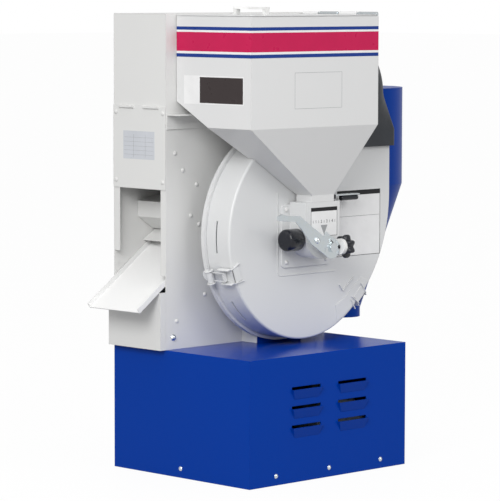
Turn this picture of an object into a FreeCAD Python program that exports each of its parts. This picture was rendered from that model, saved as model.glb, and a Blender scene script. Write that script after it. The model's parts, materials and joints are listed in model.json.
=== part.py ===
"""Impeller rice huller with a winnowing tower and a husk cyclone.

Row frame: +Z up, origin at the centre of the base's underside, feed inlet facing -Y, rice chute on the
-X side.  All lengths are millimetres, all angles degrees.  A formula names a cell of the sheet Dims by
its alias; every alias has an underscore, which is how formula() finds it.
"""
import FreeCAD, Part
import math
import os
import re
import Sketcher

from FreeCAD import Placement, Rotation, Vector

doc = FreeCAD.newDocument("RiceHuller")
sheet = doc.addObject("Spreadsheet::Sheet", "Dims")

SIZES = (
    # base box
    ("base_width", 414), ("base_depth", 362), ("base_height", 233), ("cover_wall", 1.6), ("anchor_x", 170), ("anchor_y", 145),
    ("anchor_r", 5.5),
    ("pan_fit", 0.4), ("pan_sheet", 2.5), ("pan_flange", 30), ("case_screw_z", 17), ("case_screw_pitch", 139),
    ("louvre_width", 79), ("louvre_centre", 61), ("louvre_top", 171), ("louvre_pitch", 35.2),
    ("louvre_height", 18), ("louvre_proud", 6), ("louvre_taper", 8), ("louvre_slot", 4.5),
    # screws
    ("screw_head_r", 4.6), ("screw_head_h", 2.6), ("screw_shank_r", 2.4), ("screw_shank_l", 6),
    ("bolt_head_r", 6.5), ("bolt_head_h", 4.5), ("bolt_shank_r", 3.4), ("hole_play", 0.3),
    # drive
    ("drum_x", 50), ("drum_z", 441.6), ("motor_shaft_h", 71), ("motor_plate_t", 5), ("motor_radius", 66),
    ("motor_front", -142), ("motor_back", -16), ("motor_shaft_r", 8), ("motor_foot_x", 56), ("motor_foot_y", 40),
    ("belt_y", 20), ("belt_width", 12.5), ("belt_thick", 8), ("belt_play", 0.4), ("drive_pitch_r", 45),
    ("driven_pitch_r", 30), ("pulley_width", 20), ("pulley_rim", 4), ("guard_radius", 60), ("guard_sheet", 1.5),
    ("shaft_radius", 12.5), ("nose_radius", 8), ("run_play", 0.08),
    # husking drum
    ("drum_radius", 199), ("scroll_radius", 275), ("scroll_angle", 57), ("duct_offset", 115), ("duct_top", 624),
    ("drum_front", -68.2), ("casing_wall", 2), ("casing_edge_r", 4), ("flange_lip", 6), ("flange_depth", 9),
    ("eye_radius", 38), ("liner_thick", 8), ("liner_play", 0.4), ("rim_slot", 3.2), ("rim_slot_y", -34),
    ("impeller_radius", 158), ("impeller_back", -12), ("impeller_disc_t", 4), ("impeller_hub_r", 30),
    ("blade_width", 44), ("blade_thick", 4), ("blade_root", 44), ("blade_count", 8), ("spacer_radius", 9),
    ("spacer_circle", 150),
    # feed inlet
    ("inlet_half", 45), ("inlet_front", -114.4), ("inlet_top", 503), ("inlet_wall", 2), ("flange_w", 130),
    ("flange_h", 118), ("flange_z", 439), ("flange_t", 3), ("flange_corner", 8), ("flange_bolt_x", 53),
    ("flange_bolt_z", 49), ("neck_half", 29), ("neck_back", -73),
    ("lever_x", 46), ("lever_z", 420), ("lever_y", -141), ("lever_t", 3), ("lever_hub_r", 16),
    ("lever_stud_r", 6), ("ear_gap", 16), ("washer_r", 15), ("washer_t", 8), ("star_r", 22), ("star_t", 16),
    ("plug_r", 20.5), ("plug_l", 35), ("plug_y", -93.5), ("plug_z", 434), ("plug_stem_r", 8),
    ("shutter_z", 511), ("shutter_t", 2), ("shutter_end", 163), ("shutter_play", 0.3),
    # hopper
    ("hopper_left", -181), ("hopper_right", 153), ("hopper_front", -156.6), ("hopper_back", 37.8),
    ("hopper_top", 848), ("hopper_low", 645.5), ("hopper_rear_z", 692), ("hopper_mid_y", -45.2),
    ("hopper_wall", 1.6), ("drum_gap", 2), ("lid_sheet", 2), ("lid_lip", 0.4), ("hinge_r", 3.5), ("hinge_pin_r", 1.6),
    # tower
    ("tower_width", 417), ("tower_depth", 142), ("tower_top", 852), ("tower_wall", 1.6),
    ("head_reach", 72), ("head_low", 716), ("cover_low", 528.6), ("cover_high", 682.3), ("cover_t", 1.4),
    ("open_front", 14.4), ("open_back", 16), ("notch_z", 410), ("skirt_out", 14), ("skirt_high", 340),
    ("chute_slope", 35.5), ("chute_reach", 63), ("chute_tip_z", 306), ("chute_inner", 125),
    ("chute_side", 10), ("chute_sheet", 1.6),
    # fan
    ("fan_radius", 92), ("fan_front", 114), ("fan_width", 52), ("fan_case_r", 108), ("fan_case_front", 107),
    ("fan_case_back", 176), ("fan_wall", 1.6), ("fan_out_x", 132), ("fan_blades", 8),
    ("bearing_r", 34), ("bearing_t", 24), ("bearing_foot", 46),
    # hood
    ("hood_proud", 8), ("collar_low", 598), ("collar_high", 630), ("elbow_r", 51), ("elbow_z", 700),
    ("hood_wall", 3), ("seat_gap", 0.3),
    # cyclone
    ("cyclone_x", 351), ("cyclone_y", 122), ("cyclone_r", 118), ("cyclone_top", 702), ("cyclone_low", 514),
    ("cone_low", 264), ("husk_out_r", 36), ("husk_out_low", 247), ("cyclone_wall", 2), ("vortex_r", 45),
    ("snout_low", 584), ("snout_high", 680), ("snout_angle", 30), ("snout_width", 60),
    # latches
    ("left_latch", 200), ("right_latch", 315),
)
for row, (alias, number) in enumerate(SIZES, 1):
    sheet.set(f"A{row}", alias)
    sheet.set(f"B{row}", str(number))
    sheet.setAlias(f"B{row}", alias)
doc.recompute()
probe = doc.addObject("App::FeaturePython", "Probe")

TURN = {
    "X": Rotation(Vector(0, 1, 0), 90),
    "Y": Rotation(Vector(1, 0, 0), -90),
    "Z": Rotation(),
}
PARTS = []


# ---------------------------------------------------------------- helpers
def formula(text):
    """The sheet formula that a short formula stands for."""
    return re.sub(r"\b([a-z]+_\w+)\b", r"Dims.\1", str(text))


def size(text):
    """The number that a short formula has now."""
    return float(probe.evalExpression(formula(text)))


def bind(item, prop, text):
    item.setExpression(prop, formula(text))


def put(item, at, turn=None):
    """Places an item, with its base bound to three formulas."""
    item.Placement = Placement(Vector(*map(size, at)), turn or Rotation())
    for axis, text in zip("xyz", at):
        bind(item, "Placement.Base." + axis, text)
    return item


def node(name, item):
    """Names a finished sub-part."""
    item.Label = name
    PARTS.append(item)
    return item


def block(name, low, high):
    """A box between two corners."""
    item = doc.addObject("Part::Box", name)
    for prop, start, end in zip(("Length", "Width", "Height"), low, high):
        bind(item, prop, f"({end}) - ({start})")
    return put(item, low)


def rod(name, radius, start, length, axis="Y"):
    """A cylinder from a point along a row axis."""
    item = doc.addObject("Part::Cylinder", name)
    bind(item, "Radius", radius)
    bind(item, "Height", length)
    return put(item, start, TURN[axis])


def fuse(name, items):
    item = doc.addObject("Part::MultiFuse", name)
    item.Shapes = list(items)
    item.Refine = True
    return item


def cut(name, base, tools):
    tools = list(tools)
    item = doc.addObject("Part::Cut", name)
    item.Base = base
    item.Tool = tools[0] if len(tools) == 1 else fuse(name + "_tools", tools)
    item.Refine = True
    return item


def solid(name, shape):
    """A shape made by Part's own functions."""
    item = doc.addObject("Part::Feature", name)
    item.Shape = shape
    return item


def arc_centre(start, end, radius, side):
    """Centre of an arc that turns to the left (side 1) or to the right (side -1)."""
    chord = end - start
    half = chord.Length / 2
    normal = Vector(-chord.y, chord.x, 0).normalize()
    return start + chord / 2 + normal * side * math.sqrt(max(radius * radius - half * half, 0))


def draw(sketch, outline):
    """Draws a closed outline of (x, y) corners; (x, y, radius, side) reaches its corner by an arc.

    A side of 2 or -2 takes the longer arc of that radius.
    """
    if len(outline) == 1:
        x, y, radius = outline[0]
        centre = Vector(size(x), size(y), 0)
        ring = sketch.addGeometry(Part.Circle(centre, Vector(0, 0, 1), size(radius)), False)
        pin(sketch, ring, 3, x, y)
        index = sketch.addConstraint(Sketcher.Constraint("Radius", ring, size(radius)))
        bind(sketch, f"Constraints[{index}]", radius)
        return
    corners = [Vector(size(item[0]), size(item[1]), 0) for item in outline]
    ends = []
    for index, item in enumerate(outline):
        start, end = corners[index - 1], corners[index]
        if len(item) == 2:
            edge = sketch.addGeometry(Part.LineSegment(start, end), False)
            ends.append((edge, 1, 2))
            continue
        radius, side = size(item[2]), item[3]
        bulge = -1 if abs(side) == 2 else 1
        turn = 1 if side > 0 else -1
        centre = arc_centre(start, end, radius, turn * bulge)
        first, last = (start, end) if turn > 0 else (end, start)
        angles = [math.atan2(point.y - centre.y, point.x - centre.x) for point in (first, last)]
        circle = Part.Circle(centre, Vector(0, 0, 1), radius)
        edge = sketch.addGeometry(Part.ArcOfCircle(circle, angles[0], angles[1]), False)
        ends.append((edge, 1, 2) if turn > 0 else (edge, 2, 1))
        limit = sketch.addConstraint(Sketcher.Constraint("Radius", edge, radius))
        bind(sketch, f"Constraints[{limit}]", item[2])
    for index, item in enumerate(outline):
        edge, _, last = ends[index]
        follower, first, _ = ends[(index + 1) % len(ends)]
        sketch.addConstraint(Sketcher.Constraint("Coincident", edge, last, follower, first))
        pin(sketch, edge, last, item[0], item[1])


def pin(sketch, edge, point, x, y):
    """Holds a sketch point at two formulas."""
    for kind, text in (("DistanceX", x), ("DistanceY", y)):
        index = sketch.addConstraint(Sketcher.Constraint(kind, -1, 1, edge, point, size(text)))
        bind(sketch, f"Constraints[{index}]", text)


def sketch_in(body, plane, outlines, offset="0"):
    """A sketch on a plane of the body's own origin, moved along the plane's normal."""
    sketch = body.newObject("Sketcher::SketchObject", body.Name + "Sketch")
    support = [f for f in body.Origin.OriginFeatures if f.Role == plane][0]
    sketch.AttachmentSupport = [(support, "")]
    sketch.MapMode = "FlatFace"
    bind(sketch, "AttachmentOffset.Base.z", offset)
    for outline in outlines:
        draw(sketch, outline)
    return sketch


def plate(name, plane, outlines, start, end):
    """A body padded between two places on the axis that is square to the plane."""
    body = doc.addObject("PartDesign::Body", name)
    if plane == "XZ_Plane":
        sketch = sketch_in(body, plane, outlines, f"-({end})")
    else:
        sketch = sketch_in(body, plane, outlines, start)
    pad = body.newObject("PartDesign::Pad", name + "Pad")
    pad.Profile = sketch
    bind(pad, "Length", f"({end}) - ({start})")
    return body


def turned(name, axis, outlines, at):
    """A body revolved about a row axis; the outlines give (along, radius) for X, (radius, along) else."""
    body = doc.addObject("PartDesign::Body", name)
    sketch = sketch_in(body, "XZ_Plane" if axis == "Z" else "XY_Plane", outlines)
    turn = body.newObject("PartDesign::Revolution", name + "Turn")
    turn.Profile = sketch
    turn.ReferenceAxis = (sketch, ["H_Axis" if axis == "X" else "V_Axis"])
    turn.Angle = 360
    return put(body, at)


def around(body, feature, sketch, count):
    """Repeats a body's feature about the normal of its sketch."""
    pattern = body.newObject("PartDesign::PolarPattern", body.Name + "Ring")
    pattern.Originals = [feature]
    pattern.Axis = (sketch, ["N_Axis"])
    pattern.Angle = 360
    bind(pattern, "Occurrences", count)
    body.Tip = pattern
    return pattern


def rectangle(low_x, low_y, high_x, high_y):
    return [(low_x, low_y), (high_x, low_y), (high_x, high_y), (low_x, high_y)]


def rounded(low_x, low_y, high_x, high_y, radius):
    """A rectangle with four round corners."""
    x0, x1 = f"({low_x}) + {radius}", f"({high_x}) - {radius}"
    y0, y1 = f"({low_y}) + {radius}", f"({high_y}) - {radius}"
    return [
        (x0, low_y), (x1, low_y), (high_x, y0, radius, 1), (high_x, y1), (x1, high_y, radius, 1),
        (x0, high_y), (low_x, y1, radius, 1), (low_x, y0), (x0, low_y, radius, 1),
    ][1:]


def tapered(name, low_rectangle, low_z, high_rectangle, high_z):
    """A loft between two rectangles, each (low x, low y, high x, high y)."""
    body = doc.addObject("PartDesign::Body", name)
    first = sketch_in(body, "XY_Plane", [rectangle(*low_rectangle)], low_z)
    second = sketch_in(body, "XY_Plane", [rectangle(*high_rectangle)], high_z)
    loft = body.newObject("PartDesign::AdditiveLoft", name + "Loft")
    loft.Profile = first
    loft.Sections = [second]
    return body


def screw(head_r, head_h, shank_r, shank_l):
    """A dome-headed screw along +Z, with the underside of its head at the origin."""
    dome = (head_r * head_r + head_h * head_h) / (2 * head_h)
    cap = Part.makeSphere(dome, Vector(0, 0, head_h - dome))
    head = Part.makeCylinder(head_r, head_h).common(cap)
    return head.fuse(Part.makeCylinder(shank_r, shank_l, Vector(0, 0, -shank_l))).removeSplitter()


def hex_bolt(head_r, head_h, shank_r, shank_l):
    """A hexagon bolt along +Z, with the underside of its head at the origin."""
    corners = [Vector(head_r, 0, 0)]
    for corner in range(1, 7):
        corners.append(Rotation(Vector(0, 0, 1), 60 * corner).multVec(corners[0]))
    head = Part.Face(Part.makePolygon(corners)).extrude(Vector(0, 0, head_h))
    return head.fuse(Part.makeCylinder(shank_r, shank_l, Vector(0, 0, -shank_l))).removeSplitter()


def copies(shape, places, outward):
    """Copies of a +Z shape at several points, turned to point outward."""
    turn = Rotation(Vector(0, 0, 1), outward)
    group = []
    for place in places:
        one = shape.copy()
        one.Placement = Placement(place, turn)
        group.append(one)
    return group


def bores(name, groups, radius, depth):
    """Drills for fasteners: round bars through each (places, outward) group."""
    bars = []
    for places, outward in groups:
        bar = Part.makeCylinder(radius, 2 * depth, Vector(0, 0, -depth))
        bars += copies(bar, places, outward)
    return solid(name, Part.makeCompound(bars))


LEFT, RIGHT = "-base_width/2", "base_width/2"
FRONT, BACK = "-base_depth/2", "base_depth/2"
TOWER_FRONT = "base_depth/2 - tower_depth"
TOWER_RIGHT = "tower_width - base_width/2"
MOTOR_Z = "pan_sheet + motor_plate_t + motor_shaft_h"
SCREW = [size(name) for name in ("screw_head_r", "screw_head_h", "screw_shank_r", "screw_shank_l")]
BOLT = [size(name) for name in ("bolt_head_r", "bolt_head_h", "bolt_shank_r")]
BORE = size("screw_shank_r + hole_play")
BOLT_BORE = size("bolt_shank_r + hole_play")


# ---------------------------------------------------------------- base
def louvre(name, x, top, shrink):
    """A pressed scoop on the front wall, open upwards; shrink gives its hollow."""
    item = doc.addObject("Part::Wedge", name)
    low = f"{top} - louvre_height"
    bind(item, "Xmin", f"louvre_taper + {shrink}")
    bind(item, "Xmax", f"louvre_width - louvre_taper - {shrink}")
    bind(item, "X2min", shrink)
    bind(item, "X2max", f"louvre_width - {shrink}")
    bind(item, "Ymin", shrink)
    bind(item, "Ymax", f"louvre_height + {shrink} * 0.1")
    bind(item, "Zmin", "-cover_wall")
    bind(item, "Zmax", "0.4")
    bind(item, "Z2min", "-cover_wall")
    bind(item, "Z2max", f"louvre_proud - {shrink}")
    return put(item, (f"{x} - louvre_width/2", FRONT, low), Rotation(Vector(1, 0, 0), 90))


def base():
    outer = block("CoverOuter", (LEFT, FRONT, "0"), (RIGHT, BACK, "base_height"))
    inner = block(
        "CoverInner",
        (f"{LEFT} + cover_wall", f"{FRONT} + cover_wall", "-cover_wall"),
        (f"{RIGHT} - cover_wall", f"{BACK} - cover_wall", "base_height - cover_wall"),
    )
    belt_slot = block(
        "BeltSlot",
        ("drum_x - drive_pitch_r - pulley_rim - 4", "belt_y - pulley_width/2 - 3", "base_height - 3*cover_wall"),
        ("drum_x + drive_pitch_r + pulley_rim + 4", "belt_y + pulley_width/2 + 3", "base_height + cover_wall"),
    )
    scoops, hollows = [], []
    for column in (-1, 1):
        for line in range(3):
            x = f"{column}*louvre_centre"
            top = f"louvre_top - {line}*louvre_pitch"
            scoops.append(louvre(f"Scoop{column}{line}", x, top, "0"))
            hollows.append(louvre(f"Hollow{column}{line}", x, top, "cover_wall"))
            hollows.append(block(
                f"Slot{column}{line}",
                (f"{x} - louvre_width/2 + cover_wall", f"{FRONT} - cover_wall*0.5", f"{top} - cover_wall*0.2"),
                (f"{x} + louvre_width/2 - cover_wall", f"{FRONT} + 2*cover_wall", f"{top} + louvre_slot"),
            ))
    z = size("case_screw_z")
    half_w, half_d, pitch = size("base_width")/2, size("base_depth")/2, size("case_screw_pitch")
    groups = (
        ([Vector(x, -half_d, z) for x in (-pitch, 0, pitch)], Vector(0, -1, 0)),
        ([Vector(x, half_d, z) for x in (-pitch, 0, pitch)], Vector(0, 1, 0)),
        ([Vector(-half_w, 0, z)], Vector(-1, 0, 0)),
        ([Vector(half_w, 0, z)], Vector(1, 0, 0)),
    )
    drill = bores("CaseDrill", groups, BORE, SCREW[3] + 2)
    cover = cut("CoverHollow", fuse("CoverSkin", [outer] + scoops), [inner, belt_slot, drill] + hollows)
    node("base_cover", cover)
    inset = "(cover_wall + pan_fit)"
    tray = block("PanOuter", (f"{LEFT} + {inset}", f"{FRONT} + {inset}", "0"),
                 (f"{RIGHT} - {inset}", f"{BACK} - {inset}", "pan_flange"))
    well = block(
        "PanInner",
        (f"{LEFT} + {inset} + pan_sheet", f"{FRONT} + {inset} + pan_sheet", "pan_sheet"),
        (f"{RIGHT} - {inset} - pan_sheet", f"{BACK} - {inset} - pan_sheet", "2*pan_flange"),
    )
    anchors = [rod(f"Anchor{i}{j}", "anchor_r", (f"{i}*anchor_x", f"{j}*anchor_y", "-5"), "pan_sheet + 10", "Z")
               for i in (-1, 1) for j in (-1, 1)]
    node("base_pan", cut("Pan", tray, [well, drill, motor_drill()] + anchors))
    screws = []
    for places, outward in groups:
        screws += copies(screw(*SCREW), places, outward)
    node("base_screws", solid("BaseScrews", Part.makeCompound(screws)))


# ---------------------------------------------------------------- motor and belt
def motor_feet():
    x, y = size("motor_foot_x"), size("motor_foot_y")
    middle = size("(motor_front + motor_back)/2")
    return [Vector(size("drum_x") + i * x, middle + j * y, size("pan_sheet + motor_plate_t + 6"))
            for i in (-1, 1) for j in (-1, 1)]


def motor_drill():
    return bores("MotorDrill", [(motor_feet(), Vector(0, 0, 1))], BOLT_BORE, 30)


def motor():
    plate_top = "pan_sheet + motor_plate_t"
    middle = "(motor_front + motor_back)/2"
    slab = block("MotorSlab", ("drum_x - motor_foot_x - 16", f"{middle} - motor_foot_y - 18", "pan_sheet"),
                 ("drum_x + motor_foot_x + 16", f"{middle} + motor_foot_y + 18", plate_top))
    node("motor_plate", cut("MotorPlate", slab, [motor_drill()]))
    stator = turned("Stator", "Y", [[
        ("motor_shaft_r + 4", "motor_front"), ("motor_radius", "motor_front"),
        ("motor_radius", "motor_back - 12"), ("motor_radius - 12", "motor_back"),
        ("motor_shaft_r + 4", "motor_back"),
    ]], ("drum_x", "0", MOTOR_Z))
    fins = [block(
        f"Fin{side}{line}",
        (f"drum_x + {side}*(motor_radius - 4) - 7", "motor_front + 14", f"{MOTOR_Z} + {line}*9 - 1.2"),
        (f"drum_x + {side}*(motor_radius - 4) + 7", "motor_back - 18", f"{MOTOR_Z} + {line}*9 + 1.2"),
    ) for side in (-1, 1) for line in range(-2, 3)]
    feet = [block(
        f"Foot{side}",
        (f"drum_x + {side}*motor_foot_x - 12", f"{middle} - motor_foot_y - 12", plate_top),
        (f"drum_x + {side}*motor_foot_x + 12", f"{middle} + motor_foot_y + 12", f"{plate_top} + 6"),
    ) for side in (-1, 1)]
    webs = [block(
        f"Web{side}",
        (f"drum_x + {side}*40 - 4", f"{middle} - motor_foot_y - 12", f"{plate_top}"),
        (f"drum_x + {side}*40 + 4", f"{middle} + motor_foot_y + 12", f"{MOTOR_Z} - 40"),
    ) for side in (-1, 1)]
    links = [block(
        f"FootLink{side}",
        (f"drum_x + {side}*46 - 10", f"{middle} - motor_foot_y - 12", f"{plate_top}"),
        (f"drum_x + {side}*46 + 10", f"{middle} + motor_foot_y + 12", f"{plate_top} + 6"),
    ) for side in (-1, 1)]
    box = block("Terminal", ("drum_x - 30", f"{middle} - 36", f"{MOTOR_Z} + motor_radius - 6"),
                ("drum_x + 30", f"{middle} + 36", f"{MOTOR_Z} + motor_radius + 26"))
    body = fuse("MotorSkin", [stator, box] + fins + feet + webs + links)
    node("motor_body", cut("MotorBody", body, [
        motor_drill(),
        rod("MotorBore", "motor_shaft_r + run_play", ("drum_x", "motor_front - 1", MOTOR_Z),
            "motor_back - motor_front + 2"),
    ]))
    cowl = turned("Cowl", "Y", [[
        ("motor_radius - 2", "motor_front - 0.2"), ("motor_radius + 1", "motor_front - 0.2"),
        ("motor_radius + 1", "motor_front - 20"), ("motor_radius - 9", "motor_front - 30"),
        ("10", "motor_front - 30"), ("10", "motor_front - 28.2"), ("motor_radius - 10", "motor_front - 28.2"),
        ("motor_radius - 2", "motor_front - 20"),
    ]], ("drum_x", "0", MOTOR_Z))
    node("motor_fan_cover", cowl)
    shaft = turned("Rotor", "Y", [[
        ("0", "motor_front - 24"), ("motor_shaft_r", "motor_front - 24"),
        ("motor_shaft_r", "belt_y + pulley_width/2 + 1"), ("0", "belt_y + pulley_width/2 + 1"),
    ]], ("drum_x", "0", MOTOR_Z))
    node("motor_shaft", shaft)
    node("motor_pulley", pulley("MotorPulley", "drive_pitch_r", "motor_shaft_r", MOTOR_Z))
    bolts = copies(hex_bolt(BOLT[0], BOLT[1], BOLT[2], size("pan_sheet + motor_plate_t + 6")),
                   motor_feet(), Vector(0, 0, 1))
    node("motor_bolts", solid("MotorBolts", Part.makeCompound(bolts)))


def pulley(name, pitch, bore, z):
    """A one-groove V pulley about the belt's plane."""
    rim, half = f"{pitch} + pulley_rim", "pulley_width/2"
    return turned(name, "Y", [[
        (bore, f"belt_y - {half}"), (rim, f"belt_y - {half}"), (rim, "belt_y - belt_width/2 - belt_play"),
        (f"{pitch} - belt_thick + 2", "belt_y - belt_width/2 + 2.6"),
        (f"{pitch} - belt_thick + 2", "belt_y + belt_width/2 - 2.6"),
        (rim, "belt_y + belt_width/2 + belt_play"), (rim, f"belt_y + {half}"), (bore, f"belt_y + {half}"),
    ]], ("drum_x", "0", z))


def belt():
    """A V belt: its trapezium swept round both pulleys."""
    low, high = size("drive_pitch_r"), size("driven_pitch_r")
    span = size("drum_z") - size(MOTOR_Z)
    lean = math.asin((low - high) / span)
    centres = (Vector(size("drum_x"), size("belt_y"), size(MOTOR_Z)),
               Vector(size("drum_x"), size("belt_y"), size("drum_z")))
    side = Vector(math.cos(lean), 0, math.sin(lean))
    other = Vector(-side.x, 0, side.z)
    points = (centres[0] + side * low, centres[1] + side * high, centres[1] + other * high,
              centres[0] + other * low)
    path = Part.Wire([
        Part.LineSegment(points[0], points[1]).toShape(),
        Part.Arc(points[1], centres[1] + Vector(0, 0, high), points[2]).toShape(),
        Part.LineSegment(points[2], points[3]).toShape(),
        Part.Arc(points[3], centres[0] - Vector(0, 0, low), points[0]).toShape(),
    ])
    half, narrow = size("belt_width/2"), size("belt_width/2 - 2.3")
    above, below = size("pulley_rim - 0.5"), size("belt_thick - 2.6 - belt_play")
    corners = [(above, -half), (above, half), (-below, narrow), (-below, -narrow), (above, -half)]
    ring = Part.makePolygon([points[0] + side * out + Vector(0, along, 0) for out, along in corners])
    shape = path.makePipeShell([ring], True, True)
    node("drive_belt", solid("Belt", shape))


def belt_guard():
    def arch(radius):
        return [
            ("drum_x + " + radius, "base_height + 0.1"), ("drum_x + " + radius, "drum_z"),
            ("drum_x", "drum_z + " + radius, radius, 1), ("drum_x - (" + radius + ")", "drum_z", radius, 1),
            ("drum_x - (" + radius + ")", "base_height + 0.1"),
        ]
    outer = plate("GuardOuter", "XZ_Plane", [arch("guard_radius")], "0.3", f"{TOWER_FRONT} - 0.3")
    inner = plate("GuardInner", "XZ_Plane", [arch("guard_radius - guard_sheet")], "-1", TOWER_FRONT)
    foot = block("GuardFoot", ("drum_x - guard_radius + guard_sheet", "-1", "base_height - 1"),
                 ("drum_x + guard_radius - guard_sheet", TOWER_FRONT, "base_height + 3"))
    node("belt_guard", cut("Guard", outer, [inner, foot]))


# ---------------------------------------------------------------- shaft, impeller and fan
def bearing(name, y, faces_back):
    """A flanged bearing unit on a wall at y."""
    sign = "1" if faces_back else "-1"
    profile = [
        ("shaft_radius + run_play", y), ("bearing_foot", y), ("bearing_foot", f"{y} + {sign}*6"),
        ("bearing_r", f"{y} + {sign}*10"), ("bearing_r - 6", f"{y} + {sign}*bearing_t"),
        ("shaft_radius + run_play", f"{y} + {sign}*bearing_t"),
    ]
    return node(name, turned(name.title().replace("_", ""), "Y", [profile], ("drum_x", "0", "drum_z")))


def rotor():
    nose = "impeller_back - impeller_disc_t - 22"
    back = f"{BACK} + bearing_t + 6"
    shaft = turned("Shaft", "Y", [[
        ("0", f"{nose} - 18"), ("nose_radius", f"{nose} - 18"), ("nose_radius", nose), ("shaft_radius", nose),
        ("shaft_radius", back), ("0", back),
    ]], ("drum_x", "0", "drum_z"))
    node("impeller_shaft", shaft)
    nut = plate("Nut", "XZ_Plane", [
        [(f"{2 * size('nose_radius'):.6g}*cos({60 * k})", f"nose_radius*2*sin({60 * k})") for k in range(6)],
        [("0", "0", "nose_radius")],
    ], f"{nose} - 12", nose)
    node("impeller_nut", put(nut, ("drum_x", "0", "drum_z")))
    disc = turned("Impeller", "Y", [[
        ("shaft_radius", "impeller_back"), ("impeller_radius", "impeller_back"),
        ("impeller_radius", "impeller_back - impeller_disc_t"),
        ("impeller_hub_r", "impeller_back - impeller_disc_t"),
        ("impeller_hub_r - 8", nose), ("shaft_radius", nose),
    ]], ("drum_x", "0", "drum_z"))
    blade_back = "impeller_back - impeller_disc_t"
    sketch = sketch_in(disc, "XZ_Plane", [[
        ("blade_root", "-blade_thick/2"), ("impeller_radius - 1", "-24 - blade_thick/2", "220", -1),
        ("impeller_radius - 1", "-24 + blade_thick/2"), ("blade_root", "blade_thick/2", "220", 1),
    ]], f"-({blade_back})")
    pad = disc.newObject("PartDesign::Pad", "BladePad")
    pad.Profile = sketch
    bind(pad, "Length", "blade_width - impeller_disc_t")
    around(disc, pad, sketch, "blade_count")
    node("impeller", disc)
    node("driven_pulley", pulley("DrivenPulley", "driven_pitch_r", "shaft_radius", "drum_z"))
    wheel = turned("FanWheel", "Y", [[
        ("shaft_radius", "fan_front + fan_width"), ("fan_radius", "fan_front + fan_width"),
        ("fan_radius", "fan_front + fan_width - 2.5"), ("26", "fan_front + fan_width - 2.5"),
        ("22", "fan_front + 14"), ("shaft_radius", "fan_front + 14"),
    ]], ("drum_x", "0", "drum_z"))
    vanes = sketch_in(wheel, "XZ_Plane", [rectangle("34", "-1.5", "fan_radius - 1", "1.5")],
                      "-(fan_front + fan_width - 2.5)")
    pad = wheel.newObject("PartDesign::Pad", "FanVanePad")
    pad.Profile = vanes
    bind(pad, "Length", "fan_width - 2.5")
    around(wheel, pad, vanes, "fan_blades")
    node("suction_fan", wheel)
    bearing("front_bearing", f"{TOWER_FRONT} + tower_wall", True)
    bearing("rear_bearing", BACK, True)


# ---------------------------------------------------------------- husking drum
def scroll(grow, top="duct_top"):
    """The drum's outline: a circle that opens along a wider arc into an upright duct."""
    near, wide = f"(drum_radius + {grow})", f"(scroll_radius + {grow})"
    left = f"(duct_offset - ({grow}))"
    across = "(scroll_radius - drum_radius)"
    right = f"drum_x + {wide} - {across}*cos(scroll_angle)"
    return [
        (f"drum_x + {left}", f"drum_z + sqrt({near}^2 - {left}^2)"),
        (f"drum_x - {near}", "drum_z", near, 1),
        (f"drum_x + {near}*cos(scroll_angle)", f"drum_z - {near}*sin(scroll_angle)", near, 1),
        (right, f"drum_z + {across}*sin(scroll_angle)", wide, 1),
        (right, top),
        (f"drum_x + {left}", top),
    ]


def sector(name, start, end):
    """A thin pie piece about the drum's axis, for a slot in the rim."""
    item = doc.addObject("Part::Cylinder", name)
    bind(item, "Radius", "drum_radius + casing_wall")
    bind(item, "Height", "rim_slot")
    item.Angle = end - start
    item.Placement = Placement(Vector(), Rotation(Vector(0, 1, 0), -end) * TURN["Y"])
    for axis, text in zip("xyz", ("drum_x", "rim_slot_y - rim_slot/2", "drum_z")):
        bind(item, "Placement.Base." + axis, text)
    return item


def flange_bolt_places(y):
    x0, z0 = size("drum_x"), size("flange_z")
    dx, dz = size("flange_bolt_x"), size("flange_bolt_z")
    return [Vector(x0 + i * dx, y, z0 + j * dz) for i in (-1, 1) for j in (-1, 1)]


def spacer_places(y):
    x0, z0, ring = size("drum_x"), size("drum_z"), size("spacer_circle")
    return [Vector(x0 + ring * math.cos(math.radians(a)), y, z0 + ring * math.sin(math.radians(a)))
            for a in (35, 145, 215, 325)]


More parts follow.
